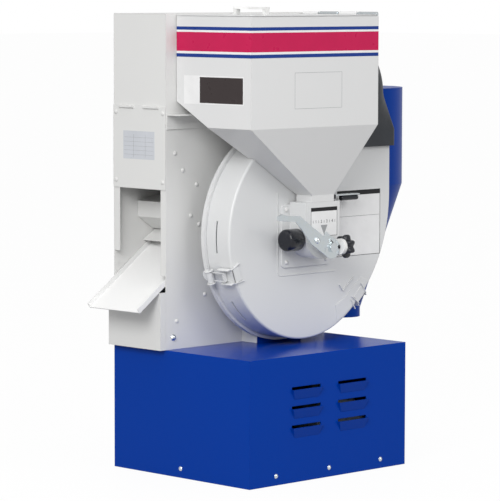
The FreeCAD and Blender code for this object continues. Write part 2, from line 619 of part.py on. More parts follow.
def drum():
    back = doc.addObject("PartDesign::Body", "CasingBack")
    sketch = sketch_in(back, "XZ_Plane", [scroll("flange_lip")], "0")
    pad = back.newObject("PartDesign::Pad", "CasingBackPad")
    pad.Profile = sketch
    bind(pad, "Length", "flange_depth")
    well = sketch_in(back, "XZ_Plane", [scroll("0.3", "duct_top + 30")], "casing_wall")
    pocket = back.newObject("PartDesign::Pocket", "CasingBackWell")
    pocket.Profile = well
    pocket.Type = "ThroughAll"
    pocket.Reversed = True
    drill = bores("SpacerDrill", [(spacer_places(0), Vector(0, 1, 0))], BOLT_BORE, 20)
    shaft_hole = rod("ShaftHole", "shaft_radius + 3", ("drum_x", "-20", "drum_z"), "40")
    node("casing_back", cut("BackPlate", back, [shaft_hole, drill]))

    cover = doc.addObject("PartDesign::Body", "CasingCover")
    sketch = sketch_in(cover, "XZ_Plane", [scroll("0")], "casing_wall + 0.2")
    pad = cover.newObject("PartDesign::Pad", "CasingCoverPad")
    pad.Profile = sketch
    bind(pad, "Length", "-drum_front - casing_wall - 0.2")
    doc.recompute()
    front = size("drum_front")
    edges = [f"Edge{k}" for k, edge in enumerate(pad.Shape.Edges, 1)
             if all(abs(v.Point.y - front) < 0.001 for v in edge.Vertexes)
             and not all(abs(v.Point.z - size("duct_top")) < 0.001 for v in edge.Vertexes)]
    rounding = cover.newObject("PartDesign::Fillet", "CasingEdge")
    rounding.Base = (pad, edges)
    bind(rounding, "Radius", "casing_edge_r")
    well = sketch_in(cover, "XZ_Plane", [scroll("-casing_wall", "duct_top + 30")], "casing_wall + 0.2")
    pocket = cover.newObject("PartDesign::Pocket", "CasingCoverWell")
    pocket.Profile = well
    pocket.Reversed = True
    bind(pocket, "Length", "-drum_front - 2*casing_wall - 0.2")
    tools = [rod("EyeHole", "eye_radius", ("drum_x", "drum_front - 10", "drum_z"), "30"),
             sector("RimSlotA", 171, 188), sector("RimSlotB", 217, 232.5),
             bores("InletDrill", [(flange_bolt_places(size("drum_front")), Vector(0, -1, 0))], BORE, 10)]
    node("casing_cover", cut("Cover", cover, tools))

    out = "drum_radius - casing_wall - liner_play"
    liner = plate("Liner", "XZ_Plane", [
        [("drum_x", "drum_z", out)], [("drum_x", "drum_z", f"{out} - liner_thick")],
    ], "drum_front + casing_wall + 1", "-casing_wall - 3")
    gap = block("LinerGap", ("drum_x + 40", "drum_front", "drum_z - drum_radius*0.55"),
                ("drum_x + drum_radius + 20", "20", "drum_z + drum_radius + 20"))
    node("casing_liner", cut("LinerCut", liner, [gap]))

    tubes = [Part.makeCylinder(size("spacer_radius"), size(TOWER_FRONT), p, Vector(0, 1, 0)).cut(
        Part.makeCylinder(BOLT_BORE, size(TOWER_FRONT), p, Vector(0, 1, 0))) for p in spacer_places(0)]
    node("casing_spacers", solid("Spacers", Part.makeCompound(tubes)))
    inner = -size("casing_wall")
    bolts = copies(screw(BOLT[0], BOLT[1], BOLT[2], size(f"{TOWER_FRONT} + casing_wall + 6")),
                   spacer_places(inner), Vector(0, -1, 0))
    node("casing_bolts", solid("CasingBolts", Part.makeCompound(bolts)))


def latch(side, angle, centre, reach):
    """A toggle latch in the frame x outward, y back, z along the rim, turned into place."""
    def place(item):
        item.Placement = Placement(Vector(), Rotation(Vector(0, 1, 0), -size(angle)))
        bind(item, "Placement.Base.x", f"{centre[0]} + {reach}*cos({angle})")
        bind(item, "Placement.Base.z", f"{centre[1]} + {reach}*sin({angle})")
        return item

    lip = size("flange_lip")
    foot = Part.makeCylinder(10, 2.5, Vector(lip + 0.3, -6, 0), Vector(1, 0, 0))
    foot = foot.fuse(Part.makeBox(7, 4, 16, Vector(lip + 0.3, -13.8, -8)))
    foot = foot.fuse(Part.makeBox(2.5, 12, 16, Vector(lip + 0.3, -18, -8)))
    for end in (-8, 5):
        foot = foot.fuse(Part.makeBox(10, 10, 3, Vector(lip + 0.3, -22, end)))
    foot = foot.fuse(Part.makeCylinder(2, 18, Vector(lip + 7, -18.5, -9), Vector(0, 0, 1)))
    node(f"{side}_latch_base", place(solid(side.title() + "LatchBase", foot.removeSplitter())))

    pivot = Vector(lip + 7, -18.5, 0)
    lever = Part.makeCylinder(4, 9, Vector(pivot.x, pivot.y, -4.5), Vector(0, 0, 1))
    lever = lever.fuse(Part.makeBox(2, 26, 9, Vector(pivot.x + 2, pivot.y - 26, -4.5)))
    lever = lever.fuse(Part.makeBox(2.4, 8, 20, Vector(pivot.x + 2, pivot.y - 34, -10)))
    for end in (-4.5, 2.5):
        lever = lever.fuse(Part.makeBox(2, 30, 2, Vector(pivot.x - 4.2, pivot.y - 32.3, end)))
    lever = lever.fuse(Part.makeBox(6.8, 2.2, 9, Vector(pivot.x - 9, pivot.y - 32.3, -4.5)))
    lever = lever.cut(Part.makeCylinder(2.1, 30, Vector(pivot.x, pivot.y, -15), Vector(0, 0, 1)))
    node(f"{side}_latch_lever", place(solid(side.title() + "LatchLever", lever.removeSplitter())))

    front = size("drum_front")
    hook = Part.makeBox(2, 30, 22, Vector(0.3, front + 2, -11))
    hook = hook.fuse(Part.makeBox(16, 2, 22, Vector(-14, front - 2.3, -11)))
    hook = hook.fuse(Part.makeBox(4.6, 4.6, 22, Vector(-2.3, front - 2.3, -11)))
    hook = hook.fuse(Part.makeBox(8, 3, 22, Vector(0.3, front + 20, -11)))
    hook = hook.cut(cover_shape())
    node(f"{side}_latch_catch", place(solid(side.title() + "LatchCatch", hook.removeSplitter())))


def cover_shape():
    """The room that the rim takes in a latch's own frame."""
    reach = size("casing_edge_r") + 0.3
    front = size("drum_front")
    room = Part.makeBox(40, 200, 60, Vector(-39.7, front, -30))
    edge = room.Edges
    picked = [e for e in edge if all(abs(v.Point.x - 0.3) < 0.01 and abs(v.Point.y - front) < 0.01
                                     for v in e.Vertexes)]
    return room.makeFillet(reach, picked)


# ---------------------------------------------------------------- feed inlet
def inlet():
    half = "inlet_half"

    def shoe(shrink, top):
        reach = f"({half} - {shrink})"
        return [
            (f"drum_x + {reach}", top), (f"drum_x - {reach}", top), (f"drum_x - {reach}", "drum_z"),
            ("drum_x", f"drum_z - {reach}", reach, 1), (f"drum_x + {reach}", "drum_z", reach, 1),
        ]

    plate_back = "drum_front"
    flange = plate("InletFlange", "XZ_Plane", [
        rounded("drum_x - flange_w/2", "flange_z - flange_h/2", "drum_x + flange_w/2", "flange_z + flange_h/2",
                "flange_corner"),
        [("drum_x", "drum_z", "eye_radius")],
    ], "drum_front - flange_t", plate_back)
    places = flange_bolt_places(size("drum_front - flange_t"))
    drill = bores("FlangeDrill", [(places, Vector(0, -1, 0))], BORE, 10)
    node("inlet_screws", solid("InletScrews", Part.makeCompound(
        copies(screw(*SCREW), places, Vector(0, -1, 0)))))

    back = "drum_front - flange_t"
    outer = plate("ElbowOuter", "XZ_Plane", [shoe("0", "inlet_top")], "inlet_front", back)
    inner = plate("ElbowInner", "XZ_Plane", [shoe("inlet_wall", "inlet_top - inlet_wall")],
                  "inlet_front + inlet_wall", f"{back} + 1")
    mouth = block("ElbowMouth", ("drum_x - neck_half + hopper_wall", "inlet_front + inlet_wall", "inlet_top - 10"),
                  ("drum_x + neck_half - hopper_wall", "neck_back - hopper_wall", "inlet_top + 10"))
    stud = rod("StudHole", "lever_stud_r + run_play", ("lever_x", "inlet_front - 20", "lever_z"), "40")
    boss = rod("StudBoss", "lever_stud_r + 4", ("lever_x", "inlet_front - 6", "lever_z"), "6.2")
    plug_boss = rod("PlugBoss", "plug_stem_r + 5",
                    ("drum_x - inlet_half - 2", "plug_y", "plug_z"), "4", "X")
    plug_hole = rod("PlugHole", "plug_stem_r + run_play",
                    ("drum_x - inlet_half - 10", "plug_y", "plug_z"), "20", "X")
    node("inlet_elbow", cut("Elbow", fuse("ElbowSkin", [outer, boss, plug_boss, flange]),
                            [inner, mouth, stud, plug_hole, drill]))

    plug_face = "drum_x - inlet_half - 2.2"
    plug = turned("Plug", "X", [[
        (plug_face, "0"), ("drum_x - inlet_half + 6", "0"), ("drum_x - inlet_half + 6", "plug_stem_r"),
        (plug_face, "plug_stem_r"), (plug_face, "plug_r"), (f"{plug_face} - plug_l + 3", "plug_r"),
        (f"{plug_face} - plug_l", "plug_r - 3", "3", 1), (f"{plug_face} - plug_l", "0"),
    ][1:]], ("0", "plug_y", "plug_z"))
    node("clean_out_plug", plug)


def lever():
    front, back = "lever_y - lever_t/2", "lever_y + lever_t/2"
    hub = "lever_hub_r"
    blade = plate("LeverBlade", "XZ_Plane", [[
        ("lever_x - 3", "lever_z + 17"), ("lever_x - 10", "lever_z + 31"),
        ("lever_x - 16", "lever_z + 20"), ("lever_x - 84", "lever_z + 66"), ("lever_x - 134", "lever_z + 69"),
        ("lever_x - 141", "lever_z + 63"), ("lever_x - 134", "lever_z + 57"), ("lever_x - 90", "lever_z + 56"),
        ("lever_x - 11.1", "lever_z - 11.5"), ("lever_x", "lever_z - 16", hub, 1),
        ("lever_x + 16", "lever_z", hub, 1), ("lever_x + 9.6", "lever_z + 12.8", hub, 1),
    ], [("lever_x", "lever_z", "lever_stud_r")]], front, back)
    ear = rod("LeverEar", hub, ("lever_x + ear_gap", "lever_y", "lever_z"), "lever_t", "X")
    web = block("EarWeb", ("lever_x + 8", front, "lever_z - 9"), ("lever_x + ear_gap + 0.4", back, "lever_z + 9"))
    ear_hole = rod("EarHole", "4.2", ("lever_x + ear_gap + 0.6", "lever_y", "lever_z"), "lever_t", "X")
    tab = block("FingerTab", ("lever_x - 141", f"{front} - 12", "lever_z + 61"),
                ("lever_x - 120", f"{front} + 1", "lever_z + 64"))
    node("feed_lever", cut("Lever", fuse("LeverSkin", [blade, ear, web, tab]), [ear_hole]))
    stud = turned("Stud", "Y", [[
        ("0", f"{front} - 5"), ("9", f"{front} - 5"), ("9", front), ("lever_stud_r", front),
        ("lever_stud_r", "inlet_front + inlet_wall + 7"), ("0", "inlet_front + inlet_wall + 7"),
    ]], ("lever_x", "0", "lever_z"))
    node("lever_stud", stud)
    gate = plate("Gate", "XZ_Plane", [[
        ("lever_x - 14", "lever_z - 10"), ("lever_x + 14", "lever_z - 10"), ("lever_x + 22", "lever_z + 40"),
        ("lever_x - 22", "lever_z + 40", "60", 1),
    ], [("lever_x", "lever_z", "lever_stud_r")]], "inlet_front + inlet_wall + 2", "inlet_front + inlet_wall + 5")
    node("feed_gate", gate)
    start = "lever_x + ear_gap + lever_t"
    washer = turned("Washer", "X", [[
        (start, "4.2"), (start, "washer_r"), (f"{start} + washer_t", "washer_r"), (f"{start} + washer_t", "4.2"),
    ]], ("0", "lever_y", "lever_z"))
    node("nylon_washer", washer)
    knob_start = f"{start} + washer_t + 0.3"
    knob = plate("StarKnob", "YZ_Plane", [[("0", "0", "star_r - 4")]], knob_start, f"{knob_start} + star_t")
    lobe = sketch_in(knob, "YZ_Plane", [[("star_r - 6", "0", "6")]], knob_start)
    pad = knob.newObject("PartDesign::Pad", "LobePad")
    pad.Profile = lobe
    bind(pad, "Length", "star_t")
    around(knob, pad, lobe, "7")
    doc.recompute()
    put(knob, ("0", "lever_y", "lever_z"))
    screw_rod = rod("KnobScrew", "4", ("lever_x + ear_gap + 0.8", "lever_y", "lever_z"),
                    "lever_t + washer_t + 6", "X")
    node("star_knob", fuse("Star", [knob, screw_rod]))


def shutter():
    mid = "(inlet_front + neck_back)/2"
    low, high = "shutter_z", "shutter_z + shutter_t"
    blade = block("ShutterBlade", ("drum_x - neck_half + hopper_wall + 1", f"{mid} - 17", low),
                  ("drum_x + neck_half + 14", f"{mid} + 17", high))
    bar = block("ShutterBar", ("drum_x + neck_half + 10", f"{mid} - 8", low), ("shutter_end", f"{mid} + 8", high))
    node("feed_shutter", fuse("Shutter", [blade, bar]))
    grip = turned("Grip", "X", [[
        ("shutter_end - 45", "0"), ("shutter_end", "0"), ("shutter_end", "4"), ("shutter_end - 1", "5"),
        ("shutter_end - 44", "5"), ("shutter_end - 45", "4"),
    ]], ("0", mid, "shutter_z - 5 - seat_gap"))
    node("shutter_grip", grip)
    guide = block("GuideOuter", ("drum_x + neck_half", f"{mid} - 21", f"{low} - 4"),
                  ("drum_x + neck_half + 5", f"{mid} + 21", f"{high} + 2"))
    slot = block("GuideSlot", ("drum_x", f"{mid} - 17 - shutter_play", f"{low} - shutter_play"),
                 ("drum_x + 80", f"{mid} + 17 + shutter_play", f"{high} + shutter_play"))
    node("shutter_guide", cut("Guide", guide, [slot]))
    return slot


# ---------------------------------------------------------------- hopper
def hopper(shutter_slot):
    def side(shrink, top):
        return [
            (f"hopper_front + {shrink}", "hopper_low"), (f"hopper_mid_y - {shrink}", "hopper_low"),
            (f"hopper_back - {shrink}", f"hopper_rear_z + {shrink}*0.6"), (f"hopper_back - {shrink}", top),
            (f"hopper_front + {shrink}", top),
        ]

    def rim(shrink):
        return (f"hopper_left + {shrink}", f"hopper_front + {shrink}",
                f"hopper_right - {shrink}", f"hopper_mid_y - {shrink}")

    def throat(shrink):
        return (f"drum_x - neck_half + {shrink}", f"inlet_front + {shrink}",
                f"drum_x + neck_half - {shrink}", f"neck_back - {shrink}")

    neck_top = "inlet_top + 13"
    box = plate("HopperBox", "YZ_Plane", [side("0", "hopper_top")], "hopper_left", "hopper_right")
    funnel = tapered("Funnel", throat("0"), neck_top, rim("0"), "hopper_low")
    neck = block("Neck", ("drum_x - neck_half", "inlet_front", "inlet_top"),
                 ("drum_x + neck_half", "neck_back", neck_top))
    wide = "scroll_radius"
    outside = rod("FunnelRelief", "drum_radius + drum_gap", ("drum_x", "drum_front - drum_gap", "drum_z"), wide)
    inside = rod("FunnelReliefRoom", "drum_radius + drum_gap + hopper_wall",
                 ("drum_x", "drum_front - drum_gap - hopper_wall", "drum_z"), wide)
    skin = fuse("HopperSkin", [box, cut("FunnelSkin", funnel, [outside]), neck])
    wall = "hopper_wall"
    inner_box = plate("HopperRoom", "YZ_Plane", [side(wall, "hopper_top + 10")],
                      f"hopper_left + {wall}", f"hopper_right - {wall}")
    inner_funnel = tapered("FunnelRoom", throat(wall), neck_top, rim(wall), "hopper_low")
    inner_neck = block("NeckRoom", ("drum_x - neck_half + hopper_wall", "inlet_front + hopper_wall", "inlet_top - 5"),
                       ("drum_x + neck_half - hopper_wall", "neck_back - hopper_wall", f"{neck_top} + 0.5"))
    node("hopper", cut("Hopper", skin, [
        fuse("HopperVoid", [inner_box, cut("FunnelVoid", inner_funnel, [inside]), inner_neck]), shutter_slot]))

    lid_low = "hopper_top + lid_lip"
    lid = block("LidPlate", ("hopper_left - 1", "hopper_front - 1", lid_low),
                ("hopper_right - 2*hinge_r", "hopper_back", f"{lid_low} + lid_sheet"))
    handle_x, handle_y = "hopper_left + 96", "(hopper_front + hopper_back)/2"
    feet = [block(f"HandleFoot{end}", (f"{handle_x} - 5", f"{handle_y} + {end}*38 - 4", f"{lid_low} + lid_sheet"),
                  (f"{handle_x} + 5", f"{handle_y} + {end}*38 + 4", f"{lid_low} + lid_sheet + 10"))
            for end in (-1, 1)]
    grip = block("HandleBar", (f"{handle_x} - 6", f"{handle_y} - 42", f"{lid_low} + lid_sheet + 10"),
                 (f"{handle_x} + 6", f"{handle_y} + 42", f"{lid_low} + lid_sheet + 14"))
    node("lid_handle", fuse("Handle", feet + [grip]))
    axis_x, axis_z = "hopper_right - hinge_r", "hopper_top + hinge_r + lid_lip"
    pieces = {"lid": [], "hopper": []}
    for index, (start, end) in enumerate((("-156", "-110"), ("-105", "-60"), ("-55", "-10"), ("-5", "35"))):
        owner = "lid" if index % 2 else "hopper"
        tube = rod(f"Knuckle{index}", "hinge_r", (axis_x, start, axis_z), f"({end}) - ({start})")
        if owner == "lid":
            leaf = block(f"Leaf{index}", ("hopper_right - 2*hinge_r - 14", start, lid_low),
                         (axis_x, end, f"{lid_low} + lid_sheet"))
        else:
            leaf = block(f"Leaf{index}", ("hopper_right - hinge_r", start, "hopper_top"),
                         ("hopper_right", end, axis_z))
        pieces[owner] += [tube, leaf]
    bore = rod("HingeBore", "hinge_pin_r + run_play", (axis_x, "hopper_front - 5", axis_z), "300")
    gaps = [block(f"LidGap{index}", ("hopper_right - 2*hinge_r - 1", start, "hopper_top - 1"),
                  ("hopper_right + 5", end, "hopper_top + 20"))
            for index, (start, end) in enumerate((("-162", "-109"), ("-56", "-9")))]
    node("hopper_lid", cut("Lid", fuse("LidSkin", [lid] + pieces["lid"]), [bore] + gaps))
    hinge_pin = rod("HingePin", "hinge_pin_r", (axis_x, "-156", axis_z), "191")
    node("lid_hinge", fuse("Hinge", pieces["hopper"] + [hinge_pin]))

    lip = "hopper_rear_z"
    shelf = block("Shelf", (f"{LEFT} + 1", f"{TOWER_FRONT} - 34", f"{lip} - 26"),
                  ("hopper_right", TOWER_FRONT, f"{lip} - 24"))
    upright = block("ShelfUpright", (f"{LEFT} + 1", f"{TOWER_FRONT} - 2", f"{lip} - 52"),
                    ("hopper_right", TOWER_FRONT, f"{lip} - 24"))
    room = plate("ShelfRoom", "YZ_Plane", [side("-0.2", "hopper_top")], "hopper_left - 0.4", "hopper_right + 0.4")
    node("hopper_bracket", cut("HopperBracket", fuse("BracketSkin", [shelf, upright]), [room]))


# ---------------------------------------------------------------- hood
def rounded_ring(x0, y0, x1, y1, radius, z):
    """A rounded rectangle as a wire at height z."""
    body = Part.makePlane(x1 - x0, y1 - y0, Vector(x0, y0, z))
    solid_box = body.extrude(Vector(0, 0, 1))
    upright = [e for e in solid_box.Edges if abs(e.Vertexes[0].Z - e.Vertexes[1].Z) > 0.5]
    filleted = solid_box.makeFillet(radius, upright)
    return [f for f in filleted.Faces if f.BoundBox.ZMax - z < 0.01][0].OuterWire


def hood():
    right = size("drum_x + scroll_radius - (scroll_radius - drum_radius)*cos(scroll_angle)")
    left = size("drum_x + duct_offset")
    front, back = size("drum_front"), 0.0
    axis_x, axis_y = (left + right) / 2, (front + back) / 2

    def skin(inset, collar_low):
        proud = size("hood_proud") - inset
        low = (left - proud, front - proud, right + proud, back + proud)
        collar_high = size("collar_high")
        base_ring = rounded_ring(*low, 9 - min(inset, 4), collar_low)
        collar = Part.Face(base_ring).extrude(Vector(0, 0, collar_high - collar_low))
        radius = size("elbow_r") - inset
        top_ring = Part.Wire(Part.makeCircle(radius, Vector(axis_x, axis_y, size("elbow_z"))))
        ring = rounded_ring(*low, 9 - min(inset, 4), collar_high)
        cone = Part.makeLoft([ring, top_ring], True, False)
        disc = Part.Face(top_ring)
        bend = disc.revolve(Vector(axis_x, size(TOWER_FRONT), size("elbow_z")), Vector(-1, 0, 0), 90)
        return collar.fuse([cone, bend])

    low, rest = size("collar_low"), size("duct_top + seat_gap")
    outer = skin(0, low)
    inner = skin(size("hood_wall"), rest - 0.1)
    gap, lip = size("seat_gap"), size("flange_lip + seat_gap")
    depth = rest - low + 1
    duct_room = Part.makeBox(right - left + 2 * gap, back - front + 2 * gap, depth,
                             Vector(left - gap, front - gap, low - 1))
    lip_room = Part.makeBox(right - left + 2 * lip, size("flange_depth") + 2 * gap, depth,
                            Vector(left - lip, -size("flange_depth") - gap, low - 1))
    cap = Part.makeBox(400, 20, 300, Vector(axis_x - 200, size(TOWER_FRONT), 600))
    eye = Vector(size("drum_x"), front - gap, size("drum_z"))
    drum_room = Part.makeCylinder(size("drum_radius") + gap, 99, eye, Vector(0, 1, 0))
    eye.y = -size("flange_depth") - gap
    flange_room = Part.makeCylinder(size("drum_radius") + lip, 99, eye, Vector(0, 1, 0))
    shape = outer.cut([inner, duct_room, lip_room, drum_room, flange_room, cap])
    node("discharge_hood", solid("Hood", shape.removeSplitter()))


# ---------------------------------------------------------------- tower
def tower_front_places(y):
    """Painted screws on the tower's front wall, on the flanges of the guides behind it."""
    spots = ((-184, 596), (-164, 564), (-129, 536), (-144, 479), (-123, 462), (-108, 330), (-180, 285))
    return [Vector(x, y, z) for x, z in spots]


def cover_places(x):
    low, high = size("cover_low + 14"), size("cover_high - 13")
    front, back = size(f"{TOWER_FRONT} + 7.5"), size(f"{BACK} - 7.5")
    return [Vector(x, y, z) for y in (front, back) for z in (low, high)]


def tower():
    """The tower's sheets, each its own panel: front and rear reach over the edges of the others."""
    wall, head_end = "tower_wall", f"{TOWER_RIGHT} + head_reach"
    near, far = f"{TOWER_FRONT} + {wall}", f"{BACK} - {wall}"
    opening = block("ChuteOpening", (f"{LEFT} - 5", f"{TOWER_FRONT} + open_front", "skirt_high"),
                    (f"{LEFT} + 5", f"{BACK} - open_back", "cover_low"))
    notch = block("Notch", (f"{LEFT} - 5", f"{BACK} - open_back - 1", "skirt_high"),
                  (f"{LEFT} + 5", f"{BACK} - {wall}", "notch_z"))
    near_notch = block("NearNotch", (f"{LEFT} - 5", f"{TOWER_FRONT} + {wall}", "skirt_high"),
                       (f"{LEFT} + 5", f"{TOWER_FRONT} + open_front + 1", "skirt_high + 30"))
    hatch = block("Hatch", (f"{LEFT} - 5", f"{TOWER_FRONT} + 18", "cover_low + 26"),
                  (f"{LEFT} + 5", f"{BACK} - 18", "cover_high - 34"))
    hood_x = "drum_x + (duct_offset + scroll_radius - (scroll_radius - drum_radius)*cos(scroll_angle))/2"
    hood_hole = rod("HoodHole", "elbow_r - hood_wall",
                    (hood_x, f"{TOWER_FRONT} - 5", f"elbow_z + {TOWER_FRONT} - drum_front/2"), "10")
    shaft_holes = rod("TowerShaftHole", "shaft_radius + 3", ("drum_x", f"{TOWER_FRONT} - 5", "drum_z"), "10")
    rear_hole = rod("RearShaftHole", "shaft_radius + 3", ("drum_x", f"{BACK} - 5", "drum_z"), "10")
    snout_hole = block("SnoutHole", (f"{TOWER_RIGHT} - 5", "fan_case_front + fan_wall", "snout_low + 3"),
                       (f"{TOWER_RIGHT} + 5", "fan_case_back - fan_wall", "snout_high - 3"))
    half = -size("base_width") / 2
    front = size(TOWER_FRONT)
    panels = []
    for side, start, end in (("Front", TOWER_FRONT, near), ("Rear", far, BACK)):
        panels.append(block(f"Tower{side}", (LEFT, start, "base_height"), (TOWER_RIGHT, end, "head_low")))
        panels.append(block(f"Head{side}", (LEFT, start, "head_low"), (head_end, end, "tower_top")))
    front_wall, head_front, rear_wall, head_rear = panels
    left_wall = block("TowerLeft", (LEFT, near, "skirt_high"), (f"{LEFT} + {wall}", far, f"tower_top - {wall}"))
    right_wall = block("TowerSide", (f"{TOWER_RIGHT} - {wall}", near, "base_height"),
                       (TOWER_RIGHT, far, f"head_low + {wall}"))
    roof = block("Roof", (LEFT, near, f"tower_top - {wall}"), (head_end, far, "tower_top"))
    head_floor = block("HeadFloor", (TOWER_RIGHT, near, "head_low"), (head_end, far, f"head_low + {wall}"))
    head_side = block("HeadSide", (f"{head_end} - {wall}", near, f"head_low + {wall}"),
                      (head_end, far, f"tower_top - {wall}"))
    front_drills = [
        bores("TowerDrill", [(tower_front_places(front), Vector(0, -1, 0))], BORE, 9),
        bores("TowerBoltDrill", [(spacer_places(front), Vector(0, -1, 0)),
                                 (foot_bolt_places(front), Vector(0, -1, 0))], BOLT_BORE, 9),
    ]
    side_drills = bores("CoverDrill", [(cover_places(half), Vector(-1, 0, 0))], BORE, 9)
    sheets = doc.addObject("Part::Compound", "TowerSheets")
    sheets.Links = [
        cut("FrontWall", front_wall, [shaft_holes] + front_drills),
        cut("HeadFrontWall", head_front, [hood_hole]),
        cut("RearWall", rear_wall, [rear_hole]),
        head_rear,
        cut("LeftWall", left_wall, [opening, notch, near_notch, hatch, side_drills]),
        cut("RightWall", right_wall, [snout_hole]),
        roof, head_floor, head_side,
    ]
    node("tower_shell", sheets)

    flap = block("HatchCover", (f"{LEFT} - cover_t", TOWER_FRONT, "cover_low"), (LEFT, BACK, "cover_high"))
    slots = []
    for start, end in ((57.3, 98), (125, 164)):
        slots.append(block(f"CoverLouvre{start}", (f"{LEFT} - cover_t - 3", f"{start}", "cover_high - 4.5"),
                           (f"{LEFT} - cover_t", f"{end}", "cover_high - 1")))
    node("inspection_cover", cut("HatchSkin", fuse("HatchFull", [flap] + slots), [
        bores("HatchDrill", [(cover_places(half), Vector(-1, 0, 0))], BORE, 9)]))
    node("inspection_screws", solid("HatchScrews", Part.makeCompound(
        copies(screw(*SCREW), cover_places(half - size("cover_t")), Vector(-1, 0, 0)))))
    node("tower_screws", solid("TowerScrews", Part.makeCompound(
        copies(screw(*SCREW), tower_front_places(front), Vector(0, -1, 0)))))
    node("tower_bolts", solid("TowerBolts", Part.makeCompound(
        copies(screw(BOLT[0], BOLT[1], BOLT[2], 12), foot_bolt_places(front), Vector(0, -1, 0)))))

    skirt = block("SkirtOuter", (f"{LEFT} - skirt_out", TOWER_FRONT, "base_height"), (LEFT, BACK, "skirt_high"))
    skirt_room = block("SkirtRoom", (f"{LEFT} - skirt_out + {wall}", f"{TOWER_FRONT} + {wall}", "base_height - 5"),
                       (f"{LEFT} + 5", f"{BACK} - {wall}", "skirt_high + 5"))
    node("skirt_panel", cut("Skirt", skirt, [skirt_room]))


def foot_bolt_places(y):
    x, z = size(f"{LEFT} + 18.6"), size("base_height + 22")
    return [Vector(x, y, z), Vector(size(f"{TOWER_RIGHT} - 18.6"), y, z)]


def chute():
    """The rice chute: a sheet tray that slopes out over the skirt."""
    slope = math.radians(size("chute_slope"))
    reach, inner = size("chute_reach"), size("chute_inner")
    length = (reach + inner) / math.cos(slope)
    front, back = size(f"{TOWER_FRONT} + tower_wall + 0.4"), size(f"{BACK} - tower_wall - 0.4")
    wall, rise = size("chute_sheet"), size("chute_side")
    tray = Part.makeBox(length, back - front, rise, Vector(0, front, 0))
    tray = tray.cut(Part.makeBox(length + 2, back - front - 2 * wall, rise, Vector(-1, front + wall, wall)))
    tip = Vector(size(LEFT) - reach, 0, size("chute_tip_z"))
    tray.Placement = Placement(tip, Rotation(Vector(0, 1, 0), -math.degrees(slope)))
    node("rice_chute", solid("Chute", tray.removeSplitter()))

    def guide(name, start, end, thick):
        """A bent guide plate across the tower, between two points of the XZ plane."""
        run = Vector(end[0] - start[0], 0, end[1] - start[1])
        sheet_box = Part.makeBox(run.Length, back - front, thick, Vector(0, front, 0))
        angle = math.degrees(math.atan2(run.z, run.x))
        sheet_box.Placement = Placement(Vector(start[0], 0, start[1]), Rotation(Vector(0, 1, 0), -angle))
        return sheet_box

    left = size(LEFT)
    shaft_side = size("drum_x - fan_case_r - 3")
    upper = guide("upper", (left + 60, 498), (shaft_side, 515), 2).fuse(
        guide("face", (left + 60, 470), (left + 60.01, 500), 2)).fuse(
        guide("under", (left + 58, 470), (left + 96, 446), 2))
    node("upper_guide", solid("UpperGuide", upper.removeSplitter()))
    lower = guide("lip", (left + 72, 424), (left + 100, 440), 2).fuse(
        guide("rise", (left + 98.5, 439), (shaft_side, 499), 2))
    divider = Part.makeBox(2, back - front, size("tower_top") - 300, Vector(shaft_side, front, 290))
    divider = divider.cut(Part.makeBox(10, back - front - 40, 90, Vector(shaft_side - 4, front + 20, 560)))
    node("chamber_divider", solid("Divider", divider.fuse(lower).removeSplitter()))


def fan_casing():
    outer = plate("FanCaseOuter", "XZ_Plane", [fan_outline("0")], "fan_case_front", "fan_case_back")
    inner = plate("FanCaseInner", "XZ_Plane", [fan_outline("fan_wall")], "fan_case_front + fan_wall",
                  "fan_case_back - fan_wall")
    outlet = block("FanLink", ("drum_x + fan_out_x - 8", "fan_case_front", "snout_low"),
                   (f"{TOWER_RIGHT} - tower_wall - 0.2", "fan_case_back", "snout_high"))
    outlet_room = block("FanLinkRoom", ("drum_x + fan_out_x - 12", "fan_case_front + fan_wall", "snout_low + fan_wall"),
                        (f"{TOWER_RIGHT} + 5", "fan_case_back - fan_wall", "snout_high - fan_wall"))
    eye = rod("FanEye", "48", ("drum_x", "fan_case_front - 5", "drum_z"), "10")
    shaft = rod("FanShaftHole", "shaft_radius + 3", ("drum_x", "fan_case_front", "drum_z"), "100")
    node("fan_casing", cut("FanCase", fuse("FanCaseSkin", [outer, outlet]), [inner, outlet_room, eye, shaft]))


def fan_outline(shrink):
    """The suction fan's volute with its upright outlet."""
    near = f"(fan_case_r - {shrink})"
    right = f"drum_x + fan_out_x - {shrink}"
    spread = f"(fan_out_x - {shrink})"
    return [
        (f"drum_x + 54 + {shrink}", f"drum_z + sqrt({near}^2 - (54 + {shrink})^2)"),
        (f"drum_x - {near}", "drum_z", near, 1),
        ("drum_x", f"drum_z - {near}", near, 1),
        (right, f"drum_z + {spread} - {near}", spread, 1),
        (right, f"snout_high - {shrink}"),
        (f"drum_x + 54 + {shrink}", f"snout_high - {shrink}"),
    ]


